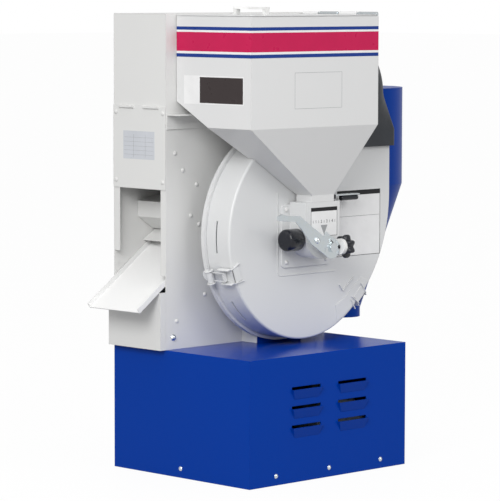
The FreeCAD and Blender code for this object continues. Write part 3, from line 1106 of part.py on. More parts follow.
# ---------------------------------------------------------------- cyclone
def cyclone():
    def profile(shrink):
        return [
            ("0", "husk_out_low"), (f"husk_out_r - {shrink}", "husk_out_low"), (f"husk_out_r - {shrink}", "cone_low"),
            (f"cyclone_r - {shrink}", "cyclone_low"), (f"cyclone_r - {shrink}", "cyclone_top"), ("0", "cyclone_top"),
        ]

    at = ("cyclone_x", "cyclone_y", "0")
    outer = turned("CycloneOuter", "Z", [profile("0")], at)
    inner = turned("CycloneInner", "Z", [profile("cyclone_wall")], at)
    angle = math.radians(size("snout_angle"))
    along = Vector(math.cos(angle), math.sin(angle), 0)
    across = Vector(-along.y, along.x, 0)
    centre = Vector(size("cyclone_x"), size("cyclone_y"), 0)
    start_x = size(TOWER_RIGHT)
    low, high = size("snout_low"), size("snout_high")

    def snout(shrink):
        """The inlet duct, tangent to the far side of the barrel."""
        outer_line = size("cyclone_r") - shrink
        inner_line = outer_line - size("snout_width") + 2 * shrink
        corners = []
        for offset in (outer_line, inner_line):
            foot = centre + across * offset
            steps = (start_x - foot.x) / along.x
            corners += [foot + along * steps, foot]
        ring = [corners[0], corners[1], corners[3], corners[2], corners[0]]
        face = Part.Face(Part.makePolygon([p + Vector(0, 0, low + shrink) for p in ring]))
        return face.extrude(Vector(0, 0, high - low - 2 * shrink))

    wall = size("cyclone_wall")
    doc.recompute()
    room = inner.Shape.fuse(snout(wall))
    shape = outer.Shape.fuse(snout(0)).cut(room)
    ends = Part.makeBox(6, 400, 200, Vector(start_x - 6, -100, low - 50))
    node("cyclone_body", solid("Cyclone", shape.cut(ends).removeSplitter()))
    lid = turned("CycloneLid", "Z", [[
        ("vortex_r - 2", "cyclone_top - 96"), ("vortex_r", "cyclone_top - 96"), ("vortex_r", "cyclone_top"),
        ("cyclone_r", "cyclone_top"), ("cyclone_r", "cyclone_top + 2"), ("vortex_r", "cyclone_top + 2"),
        ("vortex_r", "cyclone_top + 22"), ("vortex_r - 2", "cyclone_top + 22"),
    ]], at)
    node("cyclone_lid", lid)
    straps = [block(f"Strap{z}", (TOWER_RIGHT, "cyclone_y - 22", f"{z}"),
                    ("cyclone_x - cyclone_r*0.9", "cyclone_y + 22", f"{z} + 26")) for z in (522, 552)]
    room = rod("StrapRoom", "cyclone_r + 0.1", ("cyclone_x", "cyclone_y", "500"), "300", "Z")
    node("cyclone_bracket", cut("Bracket", fuse("Straps", straps), [room]))


base()
motor()
belt()
belt_guard()
rotor()
drum()
latch("left", "left_latch", ("drum_x", "drum_z"), "drum_radius")
latch("right", "right_latch", (
    "drum_x - (scroll_radius - drum_radius)*cos(scroll_angle)",
    "drum_z + (scroll_radius - drum_radius)*sin(scroll_angle)",
), "scroll_radius")
inlet()
lever()
hopper(shutter())
hood()
tower()
chute()
fan_casing()
cyclone()

doc.recompute()
for item in doc.Objects:
    if {"Invalid", "Error"} & set(item.State):
        raise ValueError(f"{item.Name} ({item.Label}) did not compute: {item.State}")
for item in PARTS:
    if item.Shape.isNull() or not item.Shape.isValid():
        raise ValueError(f"{item.Label} has no valid shape")
os.makedirs("parts", exist_ok=True)
for item in PARTS:
    item.Shape.exportStep(f"parts/{item.Label}.step")
print(len(PARTS), "parts")
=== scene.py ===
"""Looks of the rice huller: enamel, zinc, rubber and plastic finishes, printed bands, plates, shaped
pieces, floor, lights and camera.  Everything is in the part's own frame: +Z up, origin at the centre of
the base's underside, feed inlet facing -Y.  Bands and plates are in metres, and shaped pieces in mm."""
import json
import math

import bpy
import bmesh
from mathutils import Matrix, Vector


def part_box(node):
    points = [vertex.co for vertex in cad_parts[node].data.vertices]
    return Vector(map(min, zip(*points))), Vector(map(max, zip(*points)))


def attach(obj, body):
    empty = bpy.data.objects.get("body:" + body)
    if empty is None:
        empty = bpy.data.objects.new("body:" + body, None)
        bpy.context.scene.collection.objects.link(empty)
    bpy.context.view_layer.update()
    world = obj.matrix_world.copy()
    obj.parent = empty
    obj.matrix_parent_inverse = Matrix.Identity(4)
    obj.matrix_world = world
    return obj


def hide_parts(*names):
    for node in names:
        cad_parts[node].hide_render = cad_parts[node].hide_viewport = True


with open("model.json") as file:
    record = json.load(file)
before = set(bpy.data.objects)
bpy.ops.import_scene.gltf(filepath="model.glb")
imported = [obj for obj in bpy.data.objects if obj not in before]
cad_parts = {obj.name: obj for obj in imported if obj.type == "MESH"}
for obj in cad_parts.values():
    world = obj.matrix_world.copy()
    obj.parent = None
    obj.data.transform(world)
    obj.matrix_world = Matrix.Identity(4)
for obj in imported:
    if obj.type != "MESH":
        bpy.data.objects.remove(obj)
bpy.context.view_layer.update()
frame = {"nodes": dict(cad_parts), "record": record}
MM = 0.001


# ---------------------------------------------------------------- materials
class Finish:
    """One node material, with short ways to add and join its nodes."""

    def __init__(self, name):
        self.material = bpy.data.materials.new(name)
        self.material.use_nodes = True
        self.tree = self.material.node_tree
        self.shader = self.tree.nodes["Principled BSDF"]
        self.place = self.add("ShaderNodeTexCoord").outputs["Object"]

    def add(self, kind, **inputs):
        item = self.tree.nodes.new(kind)
        for name, value in inputs.items():
            self.give(item.inputs[name.replace("_", " ")], value)
        return item

    def give(self, socket, value):
        if isinstance(value, bpy.types.NodeSocket):
            self.tree.links.new(value, socket)
        else:
            socket.default_value = value

    def set(self, **inputs):
        for name, value in inputs.items():
            self.give(self.shader.inputs[name.replace("_", " ")], value)
        return self

    def noise(self, scale, detail=2.0, stretch=(1, 1, 1)):
        """Grey noise from 0 to 1; scale counts its cells to a metre."""
        placed = self.add("ShaderNodeMapping", Vector=self.place, Scale=stretch).outputs[0]
        cells = self.add("ShaderNodeTexNoise", Vector=placed, Scale=scale, Detail=detail)
        return cells.outputs["Fac"]

    def between(self, amount, low, high):
        """Maps grey 0.3 to 0.7 onto low to high."""
        item = self.add("ShaderNodeMapRange", Value=amount)
        for index, value in zip((1, 2, 3, 4), (0.3, 0.7, low, high)):
            item.inputs[index].default_value = value
        return item.outputs[0]

    def blend(self, amount, first, second):
        """Mixes two colours. A colour Mix node has them at sockets 6 and 7, and the result at 2."""
        item = self.tree.nodes.new("ShaderNodeMix")
        item.data_type = "RGBA"
        for index, value in ((0, amount), (6, first), (7, second)):
            self.give(item.inputs[index], value)
        return item.outputs[2]

    def bump(self, height, distance, strength=1.0, edge=0.0):
        """Raises the surface by a height, and rounds its edges in the shading by a radius in metres."""
        item = self.add("ShaderNodeBump", Height=height, Distance=distance, Strength=strength)
        if edge:
            soft = self.tree.nodes.new("ShaderNodeBevel")
            soft.samples = 4
            soft.inputs["Radius"].default_value = edge
            self.give(item.inputs["Normal"], soft.outputs[0])
        return self.set(Normal=item.outputs[0])


def tint(colour, factor):
    return (*[min(1.0, part * factor) for part in colour], 1.0)


def enamel(name, colour, rough=0.3, shine=0.35, edge=0.0012):
    """Sprayed enamel: faint cloudiness, orange peel and softly rounded sheet edges."""
    finish = Finish(name)
    cloud = finish.between(finish.noise(3, 2), 0, 1)
    finish.set(Base_Color=finish.blend(cloud, tint(colour, 0.99), tint(colour, 1.01)))
    finish.set(Roughness=finish.between(finish.noise(26, 4), rough * 0.93, rough * 1.07))
    finish.set(Specular_IOR_Level=shine)
    finish.bump(finish.noise(420, 1), 0.00002, 0.5, edge)
    return finish.material


def plated(name, colour, rough=0.24, warm=0.25):
    """Bright zinc plate: metal with a faint passivated tint and fine drawing lines."""
    finish = Finish(name)
    patch = finish.between(finish.noise(120, 3), 0, warm)
    cool = tint(colour, 1.0)
    straw = (colour[0] * 1.06, colour[1] * 1.0, colour[2] * 0.86, 1.0)
    finish.set(Base_Color=finish.blend(patch, cool, straw), Metallic=1.0)
    finish.set(Roughness=finish.between(finish.noise(300, 4, (1, 0.15, 1)), rough * 0.7, rough * 1.5))
    finish.bump(finish.noise(900, 2, (1, 0.2, 1)), 0.00003, 0.5, 0.0005)
    return finish.material


def cast(name, colour, rough=0.55):
    """Sand-cast iron or alloy: grainy, part machined."""
    finish = Finish(name)
    spot = finish.between(finish.noise(200, 5), 0, 1)
    finish.set(Base_Color=finish.blend(spot, tint(colour, 0.8), tint(colour, 1.2)), Metallic=0.6)
    finish.set(Roughness=finish.between(finish.noise(350, 3), rough * 0.8, rough * 1.2))
    finish.bump(finish.noise(700, 4), 0.0002, 0.6, 0.0008)
    return finish.material


def sheet_metal(name, colour, rough=0.32):
    """Galvanised sheet with its faint spangle."""
    finish = Finish(name)
    cells = finish.add("ShaderNodeTexVoronoi", Vector=finish.place, Scale=90.0).outputs["Distance"]
    finish.set(Base_Color=finish.blend(cells, tint(colour, 0.85), tint(colour, 1.1)), Metallic=1.0)
    finish.set(Roughness=finish.between(finish.noise(80, 3), rough * 0.8, rough * 1.3))
    finish.bump(finish.noise(300, 2), 0.00005, 0.5, 0.0006)
    return finish.material


def plastic(name, colour, rough=0.35, grain=0.00004, scale=1500, edge=0.001):
    """Moulded plastic or rubber with a fine grain."""
    finish = Finish(name)
    cloud = finish.between(finish.noise(40, 3), 0, 1)
    finish.set(Base_Color=finish.blend(cloud, tint(colour, 0.85), tint(colour, 1.15)))
    finish.set(Roughness=finish.between(finish.noise(90, 4), rough * 0.85, rough * 1.15))
    finish.bump(finish.noise(scale, 3), grain, 0.6, edge)
    return finish.material


def printed(name, colour, rough=0.3):
    """Printed vinyl film."""
    finish = Finish(name)
    cloud = finish.between(finish.noise(30, 2), 0, 1)
    finish.set(Base_Color=finish.blend(cloud, tint(colour, 0.97), tint(colour, 1.03)))
    finish.set(Roughness=finish.between(finish.noise(50, 2), rough * 0.9, rough * 1.1))
    finish.set(Specular_IOR_Level=0.2)
    finish.bump(finish.noise(200, 1), 0.00002, 0.3)
    return finish.material


BEIGE = (0.735, 0.735, 0.725)
MATERIALS = {
    "beige_paint": enamel("beige_paint", BEIGE, 0.36, 0.3),
    "hopper_paint": enamel("hopper_paint", (0.735, 0.737, 0.737), 0.3, 0.3),
    "cover_paint": enamel("cover_paint", (0.725, 0.732, 0.735), 0.24, 0.4),
    "chute_paint": enamel("chute_paint", (0.86, 0.86, 0.855), 0.36, 0.3),
    "painted_screw": enamel("painted_screw", (0.70, 0.70, 0.69), 0.3, 0.3, 0.0004),
    "blue_paint": enamel("blue_paint", (0.0, 0.042, 0.34), 0.2, 0.07),
    "cyclone_paint": enamel("cyclone_paint", (0.0, 0.046, 0.34), 0.3, 0.1),
    "motor_paint": cast("motor_paint", (0.12, 0.14, 0.16), 0.45),
    "zinc": plated("zinc", (0.74, 0.79, 0.83), 0.2),
    "brushed_lever": plated("brushed_lever", (0.72, 0.78, 0.82), 0.16),
    "steel": plated("steel", (0.55, 0.55, 0.56), 0.3, 0.05),
    "stainless": plated("stainless", (0.60, 0.60, 0.60), 0.3, 0.0),
    "galvanised": sheet_metal("galvanised", (0.52, 0.55, 0.58)),
    "cast_iron": cast("cast_iron", (0.09, 0.095, 0.10)),
    "impeller_alloy": cast("impeller_alloy", (0.60, 0.61, 0.62), 0.4),
    "black_plastic": plastic("black_plastic", (0.008, 0.009, 0.015), 0.24),
    "hood_rubber": plastic("hood_rubber", (0.020, 0.024, 0.031), 0.42, 0.00006, 900, 0.003),
    "belt_rubber": plastic("belt_rubber", (0.012, 0.012, 0.012), 0.6),
    # the liner is dark rubber, but its tone is darkened and tinted green-grey to stand for the shade inside
    # the rim's slots: partly painted shade
    "liner_rubber": plastic("liner_rubber", (0.045, 0.075, 0.085), 0.4),
    "white_nylon": plastic("white_nylon", (0.80, 0.80, 0.79), 0.35, 0.00002),
    "handle_plastic": plastic("handle_plastic", (0.78, 0.78, 0.77), 0.3, 0.00002),
}
PRINTS = {
    "crimson": printed("print_crimson", (0.56, 0.012, 0.085)),
    "navy": printed("print_navy", (0.010, 0.042, 0.250)),
    "white": printed("print_white", (0.84, 0.84, 0.84)),
    "silver": printed("print_silver", (0.60, 0.62, 0.66)),
    "dark": printed("print_dark", (0.045, 0.035, 0.035)),
    "black": printed("print_black", (0.018, 0.018, 0.020)),
    "grey": printed("print_grey", (0.36, 0.37, 0.38)),
}
for entry in frame["record"]["subparts"]:
    target = frame["nodes"][entry["node"]]
    for place in target.material_slots:
        place.material = MATERIALS[entry["material_slot"]]


# ---------------------------------------------------------------- small pieces
def piece(name, mesh, body, *finishes):
    """A new visible piece that rides on a body."""
    item = bpy.data.objects.new(name, mesh)
    bpy.context.scene.collection.objects.link(item)
    for finish in finishes:
        mesh.materials.append(finish)
    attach(item, body)
    return item


def film_mesh(name, quads, thick, normal):
    """Thin film over flat outlines, raised along a normal."""
    work = bmesh.new()
    rise = Vector(normal) * thick
    for corners in quads:
        low = [work.verts.new(Vector(corner)) for corner in corners]
        high = [work.verts.new(Vector(corner) + rise) for corner in corners]
        work.faces.new(high)
        for index in range(len(low)):
            after = (index + 1) % len(low)
            work.faces.new((low[index], low[after], high[after], high[index]))
        work.faces.new(list(reversed(low)))
    bmesh.ops.recalc_face_normals(work, faces=work.faces)
    mesh = bpy.data.meshes.new(name)
    work.to_mesh(mesh)
    work.free()
    return mesh


FILM = 0.00015


class Face:
    """A flat wall of the part: across runs along it, up is +Z and out is its normal."""

    def __init__(self, origin, across, out, body="machine"):
        self.origin, self.across, self.out, self.body = Vector(origin), Vector(across), Vector(out), body

    def at(self, x, z, lift=0.0):
        return self.origin + self.across * x + Vector((0, 0, z)) + self.out * lift

    def corners(self, x0, z0, x1, z1, lift=0.0):
        return [self.at(x, z, lift) for x, z in ((x0, z0), (x1, z0), (x1, z1), (x0, z1))]

    def film(self, name, colour, areas, layer=1):
        """Prints rectangles (x0, z0, x1, z1) or corner lists on the wall."""
        lift = FILM * (layer - 1)
        quads = []
        for area in areas:
            if isinstance(area[0], (int, float)):
                quads.append(self.corners(*area, lift))
            else:
                quads.append([self.at(x, z, lift) for x, z in area])
        mesh = film_mesh(name, quads, FILM, self.out)
        return piece(name, mesh, self.body, PRINTS[colour])

    def digits(self, name, colour, words, height, layer=2):
        """Prints generic numbers: (text, x, z) each centred at its place."""
        turn = Matrix((self.across, Vector((0, 0, 1)), self.out)).transposed().to_4x4()
        work = bmesh.new()
        for text, x, z in words:
            curve = bpy.data.curves.new("number", "FONT")
            curve.body = text
            curve.size = height
            curve.align_x = "CENTER"
            curve.align_y = "CENTER"
            curve.extrude = FILM / 2
            holder = bpy.data.objects.new("number", curve)
            flat = bpy.data.meshes.new_from_object(holder)
            flat.transform(Matrix.Translation(self.at(x, z, FILM * (layer - 0.5))) @ turn)
            work.from_mesh(flat)
            bpy.data.objects.remove(holder)
        mesh = bpy.data.meshes.new(name)
        work.to_mesh(mesh)
        work.free()
        return piece(name, mesh, self.body, PRINTS[colour])


def frame_lines(x0, z0, x1, z1, width):
    """Four thin rectangles round an area."""
    return [(x0, z0, x1, z0 + width), (x0, z1 - width, x1, z1),
            (x0, z0 + width, x0 + width, z1 - width), (x1 - width, z0 + width, x1, z1 - width)]


# ---------------------------------------------------------------- printed bands
hopper_low, hopper_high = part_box("hopper")
left, right = hopper_low.x, hopper_high.x
front, back = hopper_low.y, hopper_high.y
BANDS = (("navy", 0.8228, 0.8288), ("white", 0.8190, 0.8228), ("crimson", 0.7842, 0.8190),
         ("white", 0.7798, 0.7842), ("navy", 0.7734, 0.7798))
front_wall = Face((left, front, 0), (1, 0, 0), (0, -1, 0))
left_wall = Face((left, back, 0), (0, -1, 0), (-1, 0, 0))
right_wall = Face((right, front, 0), (0, 1, 0), (1, 0, 0))
width, depth = right - left, back - front
BANDED = (("front", front_wall, width), ("left", left_wall, depth), ("right", right_wall, depth))
for wall_name, wall, length in BANDED:
    for index, (colour, low, high) in enumerate(BANDS):
        wall.film(f"band_{wall_name}_{index}", colour, [(0, low, length, high)])

# ---------------------------------------------------------------- plates, all without lettering
HALF_WIDTH, HALF_DEPTH = 0.207, 0.181
HOPPER_INSET, COVER_SHEET = 0.0262, 0.0014
RULE, MARGIN = 0.0004, 0.003
front_plate = (0.138 - HOPPER_INSET, 0.680, 0.262 - HOPPER_INSET, 0.746)
front_wall.film("front_plate_lines", "grey", frame_lines(*front_plate, 0.0006))
side_plate = (back + HALF_DEPTH - 0.199, 0.688, back + HALF_DEPTH - 0.043, 0.740)
side_field = (side_plate[0] + 0.042, 0.6905, side_plate[2] - 0.002, 0.7375)
left_wall.film("side_plate", "white", [side_plate])
left_wall.film("side_plate_field", "dark", [side_field], 2)

tower_left = -HALF_WIDTH - COVER_SHEET
cover_wall = Face((tower_left, HALF_DEPTH, 0), (0, -1, 0), (-1, 0, 0))
x0, z0, x1, z1 = 0.0277, 0.583, 0.1127, 0.635
cover_wall.film("data_plate", "silver", [(x0, z0, x1, z1)])
rows = [(x0 + MARGIN, z, x1 - MARGIN, z + RULE) for z in (0.591, 0.599, 0.607, 0.615, 0.623)]
columns = [(x, z0 + MARGIN, x + RULE, z1 - 2 * MARGIN) for x in (x0 + 0.028, x0 + 0.06)]
cover_wall.film("data_plate_rules", "grey", rows + columns, 2)

drum_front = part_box("casing_cover")[0].y
face_wall = Face((-HALF_WIDTH, drum_front, 0), (1, 0, 0), (0, -1, 0))
guide = (0.3427, 0.391, 0.4625, 0.516)
face_wall.film("guide_plate", "white", [guide])
header = (guide[0], 0.507, guide[2], guide[3])
divider = (guide[0] + MARGIN, 0.4665, guide[2] - MARGIN, 0.4670)
face_wall.film("guide_plate_lines", "black", frame_lines(*guide, 0.0009) + [header, divider], 2)

INLET_FRONT = -0.1144
inlet_wall = Face((-HALF_WIDTH, INLET_FRONT, 0), (1, 0, 0), (0, -1, 0))
x0, z0, x1, z1 = 0.2245, 0.439, 0.2945, 0.493
cut, line = 0.018, 0.0007
inlet_wall.film("scale_plate", "white", [[(x0 + cut, z0), (x1, z0), (x1, z1), (x0, z1), (x0, z0 + cut)]])
inlet_wall.film("scale_header", "black", [(x0, z1 - 0.007, x1, z1)], 2)
slant = [(x0, z0 + cut), (x0 + cut, z0), (x0 + cut + 0.001, z0), (x0 + line, z0 + cut + 0.0003)]
inlet_wall.film("scale_edges", "black", [
    (x1 - line, z0, x1, z1), (x0, z0 + cut, x0 + line, z1), (x0 + cut, z0, x1, z0 + line), slant], 2)
inset, half_tick, spaces = 0.006, 0.0003, 8
marks = [x0 + inset + step * (x1 - x0 - 2 * inset) / spaces for step in range(spaces + 1)]
ticks = [(x - half_tick, 0.464, x + half_tick, 0.469) for x in marks[::2]]
numbers = [(str(index + 1), x, 0.4665) for index, x in enumerate(marks[1::2])]
inlet_wall.film("scale_ticks", "black", ticks, 2)
inlet_wall.digits("scale_numbers", "black", numbers, 0.008)
middle = (x0 + x1) / 2
wedge = [(middle, 0.442), (middle + 0.009, 0.460), (middle - 0.009, 0.460)]
inlet_wall.film("scale_wedge", "grey", [wedge], 2)


# ---------------------------------------------------------------- shaped pieces
def finished(name, work, body, slot, *, over=(), bevel=0.0):
    """Turns a bmesh into a piece in a record finish; over names the CAD nodes it stands for."""
    bmesh.ops.recalc_face_normals(work, faces=work.faces)
    mesh = bpy.data.meshes.new(name)
    work.to_mesh(mesh)
    work.free()
    for face in mesh.polygons:
        face.use_smooth = True
    item = piece(name, mesh, body, MATERIALS[slot])
    if bevel:
        edge = item.modifiers.new("soft_edge", "BEVEL")
        edge.width, edge.segments = bevel, 2
        edge.limit_method = "ANGLE"
        edge.angle_limit = math.radians(30)
        edge.harden_normals = True
    for node in over:
        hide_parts(node)


def slab(work, outline, start, end, basis):
    """Adds a flat plate: an outline in mm, thick from start to end along the basis' third axis."""
    across, up, along = (Vector(axis) for axis in basis)
    rings = []
    for depth in (start, end):
        rings.append([work.verts.new((across * x + up * z + along * depth) * MM) for x, z in outline])
    work.faces.new(rings[0])
    work.faces.new(rings[1])
    for index in range(len(outline)):
        after = (index + 1) % len(outline)
        work.faces.new((rings[0][index], rings[0][after], rings[1][after], rings[1][index]))


def lathe(work, profile, centre, axis, steps=48):
    """Adds a turned form: (along, radius) in mm about an axis through centre (mm)."""
    axis = Vector(axis)
    side = axis.orthogonal().normalized()
    other = axis.cross(side)
    rings = []
    for along, radius in profile:
        middle = Vector(centre) + axis * along
        if radius == 0:
            rings.append([work.verts.new(middle * MM)])
            continue
        ring = []
        for step in range(steps):
            angle = math.tau * step / steps
            outward = side * math.cos(angle) + other * math.sin(angle)
            ring.append(work.verts.new((middle + outward * radius) * MM))
        rings.append(ring)
    for first, second in zip(rings, rings[1:]):
        for step in range(steps):
            after = (step + 1) % steps
            corners = []
            for ring, place in ((first, step), (first, after), (second, after), (second, step)):
                corner = ring[place % len(ring)]
                if corner not in corners:
                    corners.append(corner)
            if len(corners) > 2:
                work.faces.new(corners)


def arc(x, z, radius, start, end, steps=10):
    """Points of an arc round (x, z), both ends included; angles in degrees."""
    turns = [math.radians(start + (end - start) * step / steps) for step in range(steps + 1)]
    return [(x + radius * math.cos(turn), z + radius * math.sin(turn)) for turn in turns]


# a slab's axes: across, up, and the way that it is thick
UPRIGHT = ((1, 0, 0), (0, 0, 1), (0, 1, 0))
LEVEL = ((1, 0, 0), (0, 1, 0), (0, 0, 1))
LEVER_X, LEVER_Y, LEVER_Z = 46.0, -141.0, 420.0
SCROLL_CENTRE = (50.0, 441.6)
SUNK = 0.1


def feed_lever():
    """The pressed lever with its scale pointer and folded finger tab, its bolt heads, and a dark film on the
    bolt bar that paints the shade in its slot.
    """
    thick, tab_step = 3.0, 2.0
    front, back = LEVER_Y - thick / 2, LEVER_Y + thick / 2
    root, corner = (-48.7, 472.3), (-40.8, 483.0)
    hub = arc(LEVER_X, LEVER_Z - 2, 19, -118, 62, 14)
    pointer = [(38.5, 443.5), (31, 450.5), (23.9, 441.5)]
    arm = [root, (-8.4, 429.5), (37.2, 401.0)] + hub + pointer + [(-7, 461), corner]
    tab = [root, corner, (-75.7, 484.9), (-88.4, 488.9), (-99.5, 485.0), (-97.8, 477.2)]
    work = bmesh.new()
    slab(work, arm, front, back, UPRIGHT)
    slab(work, tab, front - tab_step, back - tab_step, UPRIGHT)
    # This square plate lies inside the drum, at y -12 to 12, where the real lever has nothing.
    slab(work, [(62.5, -12), (65.5, -12), (65.5, 12), (62.5, 12)], LEVER_Z - 12, LEVER_Z + 12, LEVEL)
    finished("feed_lever_blade", work, "feed_lever_body", "brushed_lever", over=("feed_lever",), bevel=0.0006)

    dome = [(0, 6.2), (1.2, 6.2), (3.6, 4.6), (4.8, 2.2), (5.1, 0)]
    bar = [(40.5, 437.0), (36.8, 433.8), (56.0, 415.0), (59.4, 418.4)]
    square = [(26.5, 420.5), (34.7, 420.5), (34.7, 412.3), (26.5, 412.3)]
    bar_rise, square_rise = 1.6, 0.9
    work = bmesh.new()
    lathe(work, dome, (5.5, front, 435.5), (0, -1, 0), 24)
    slab(work, bar, front - bar_rise, front, UPRIGHT)
    slab(work, square, front - square_rise, front, UPRIGHT)
    finished("lever_bolt_heads", work, "feed_lever_body", "zinc", bevel=0.0005)

    # a dark film laid on the bolt bar: painted shade standing for the depth of its slot
    slot = [(41.6, 434.4), (39.6, 432.6), (54.6, 418.0), (56.6, 420.0)]
    work = bmesh.new()
    slab(work, slot, front - 1.75, front - 1.5, UPRIGHT)
    finished("lever_slot_shade", work, "feed_lever_body", "cast_iron")


def star_knob():
    """The moulded seven-lobed knob on its screw."""
    low, high = 73.3, 89.3
    lobes, radius, lobe = 7, 19.4, 3.0
    screw_start, screw_length, screw_radius = 63.0, 11, 4
    profile = ((0, 0.86), (0.12, 0.97), (0.3, 1.0), (0.7, 1.0), (0.9, 0.95), (1.0, 0.82))
    steps = 16 * lobes
    work = bmesh.new()
    rings = []
    for part, scale in profile:
        x = low + (high - low) * part
        ring = []
        for step in range(steps):
            angle = math.tau * step / steps
            reach = (radius + lobe * math.cos(lobes * angle)) * scale
            spot = Vector((x, LEVER_Y + reach * math.cos(angle), LEVER_Z + reach * math.sin(angle)))
            ring.append(work.verts.new(spot * MM))
        rings.append(ring)
    for first, second in zip(rings, rings[1:]):
        for step in range(steps):
            after = (step + 1) % steps
            work.faces.new((first[step], first[after], second[after], second[step]))
    work.faces.new(rings[0])
    work.faces.new(rings[-1])
    screw = [(0, 0), (0, screw_radius), (screw_length, screw_radius), (screw_length, 0)]
    lathe(work, screw, (screw_start, LEVER_Y, LEVER_Z), (1, 0, 0), 24)
    finished("knob_body", work, "clamp_knob", "black_plastic", over=("star_knob",))


def clean_out_plug():
    """The push-fit plug: a short cylinder with a full round outer edge, and the stem that it fits by."""
    low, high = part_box("clean_out_plug")
    middle = ((low + high) / 2) / MM
    radius, edge, stem, chamfer = (high.y - low.y) / 2 / MM, 7.5, 8, 0.6
    inner, seat, end = -high.x / MM, -2.8, -low.x / MM
    profile = [(inner, 0), (inner, stem), (seat, stem), (seat, radius - chamfer), (seat + chamfer, radius)]
    profile += [(end - edge + x, radius - edge + z) for x, z in arc(0, 0, edge, 90, 0, 8)]
    profile += [(end, 0)]
    work = bmesh.new()
    lathe(work, profile, (0, middle.y, middle.z), (-1, 0, 0), 64)
    finished("plug_body", work, "plug", "black_plastic", over=("clean_out_plug",))


def drum_ridge():
    """The pressed ridge round the inlet's flange."""
    front, rise = drum_front / MM, 0.9
    outline = [(-22.5, 520.0), (-25.0, 520.0), (-25.0, 374.5)] + arc(-15, 374.5, 10, 180, 270, 6)
    outline += [(132.0, 364.5), (132.0, 367.0)] + arc(-15, 374.5, 7.5, 270, 180, 6)
    work = bmesh.new()
    slab(work, outline, front - rise, front + SUNK, UPRIGHT)
    finished("drum_ridge", work, "machine", "cover_paint", bevel=0.0004)


def catch_plate():
    """The right catch's plate on the drum's face, with the ribs pressed in it."""
    front, rise, rib_rise, half_rib = drum_front / MM, 0.9, 2.2, 0.9
    rim = arc(8.6, 505.3, 270.5, -37.5, -57, 10) + arc(*SCROLL_CENTRE, 194.5, -57.6, -63.6, 4)
    fold, dip, peak = (142.0, 338.1), (152.8, 325.2), (156.6, 330.3)
    ribs = (((174.4, 307.3), (186.3, 288.8)), (fold, dip), (dip, peak), (peak, (180.9, 350.2)))
    work = bmesh.new()
    outline = [(159.7, 313.8), (201.6, 349.4)] + rim + [(132.5, 299.7)]
    slab(work, outline, front - rise, front + SUNK, UPRIGHT)
    for start, end in ribs:
        run = Vector((end[0] - start[0], end[1] - start[1])).normalized() * half_rib
        rib = [(start[0] - run.y, start[1] + run.x), (end[0] - run.y, end[1] + run.x),
               (end[0] + run.y, end[1] - run.x), (start[0] + run.y, start[1] - run.x)]
        slab(work, rib, front - rib_rise, front + SUNK, UPRIGHT)
    finished("catch_plate", work, "machine", "cover_paint", bevel=0.0003)


def box_in(work, low, high):
    """Adds a box between two corners, in mm."""
    outline = [(low[0], low[2]), (high[0], low[2]), (high[0], high[2]), (low[0], high[2])]
    slab(work, outline, low[1], high[1], UPRIGHT)


def latch_base(foot, pin_x, pin_y):
    """The latch's round foot, its back and the two cheeks with their pin."""
    cheek_in, cheek_out, cheek_radius = 11.4, 13.2, 8.5
    foot_radius, foot_thick, foot_y = 9.8, 2.6, -4.5
    pin_radius, pin_reach = 2, 11.6
    work = bmesh.new()
    disc = [(0, 0), (0, foot_radius), (foot_thick, foot_radius), (foot_thick, 0)]
    lathe(work, disc, (foot, foot_y, 0), (1, 0, 0), 32)
    box_in(work, (foot, pin_y - 2, -7), (8.8, foot_y, 7))
    for end in (-1, 1):
        low, high = sorted((end * cheek_in, end * cheek_out))
        cheek = [(low, 0), (low, cheek_radius), (high, cheek_radius), (high, 0)]
        lathe(work, cheek, (pin_x, pin_y, 0), (0, 0, 1), 32)
        box_in(work, (foot, pin_y - 3, low), (pin_x, pin_y + 3, high))
    box_in(work, (foot, pin_y - 3, -cheek_out), (8.3, pin_y + 3, cheek_out))
    pin = [(-pin_reach, 0), (-pin_reach, pin_radius), (pin_reach, pin_radius), (pin_reach, 0)]
    lathe(work, pin, (pin_x, pin_y, 0), (0, 0, 1), 16)
    return work


def latch_lever(pin_x, pin_y):
    """The lever's rounded body and the bail that runs from it to the catch."""
    bail_in, bail_out = 7.2, 9.2
    work = bmesh.new()
    core = arc(pin_x, pin_y, 6.5, -100, 100, 10) + [(pin_x - 3, pin_y + 2.5), (pin_x - 3, pin_y - 2.5)]
    slab(work, core, -11, 11, LEVEL)
    for end in (-1, 1):
        low, high = sorted((end * bail_out, end * bail_in))
        box_in(work, (pin_x - 4.0, pin_y - 33, low), (pin_x - 2.0, pin_y, high))
    box_in(work, (pin_x - 9.5, pin_y - 34.6, -bail_out), (pin_x - 2.0, pin_y - 32.4, bail_out))
    return work


def latch_catch():
    """The catch: a channel over the drum's rim with a hook, a folded front and two splayed wings."""
    front, low_x, sheet, wall_in, wall_out = drum_front / MM, 0.3, 2.3, 13, 15
    work = bmesh.new()
    box_in(work, (low_x, front + 4.3, -wall_out), (sheet, front + 30, wall_out))
    for end in (-1, 1):
        low, high = sorted((end * wall_in, end * wall_out))
        box_in(work, (low_x, front + 1, low), (11, front + 30, high))
        wing = [(4, end * 12.4), (4, end * 14.4), (-20, end * 18.4), (-20, end * 16.4)]
        slab(work, wing, front - 3.2, front - 0.1, UPRIGHT)
    box_in(work, (low_x, front + 20, -8), (8.3, front + 23, 8))
    box_in(work, (-16, front - 2.2, -14), (sheet, front - 0.3, 14))
    box_in(work, (low_x, front - 2.2, -wall_out), (sheet, front + 5, wall_out))
    return work


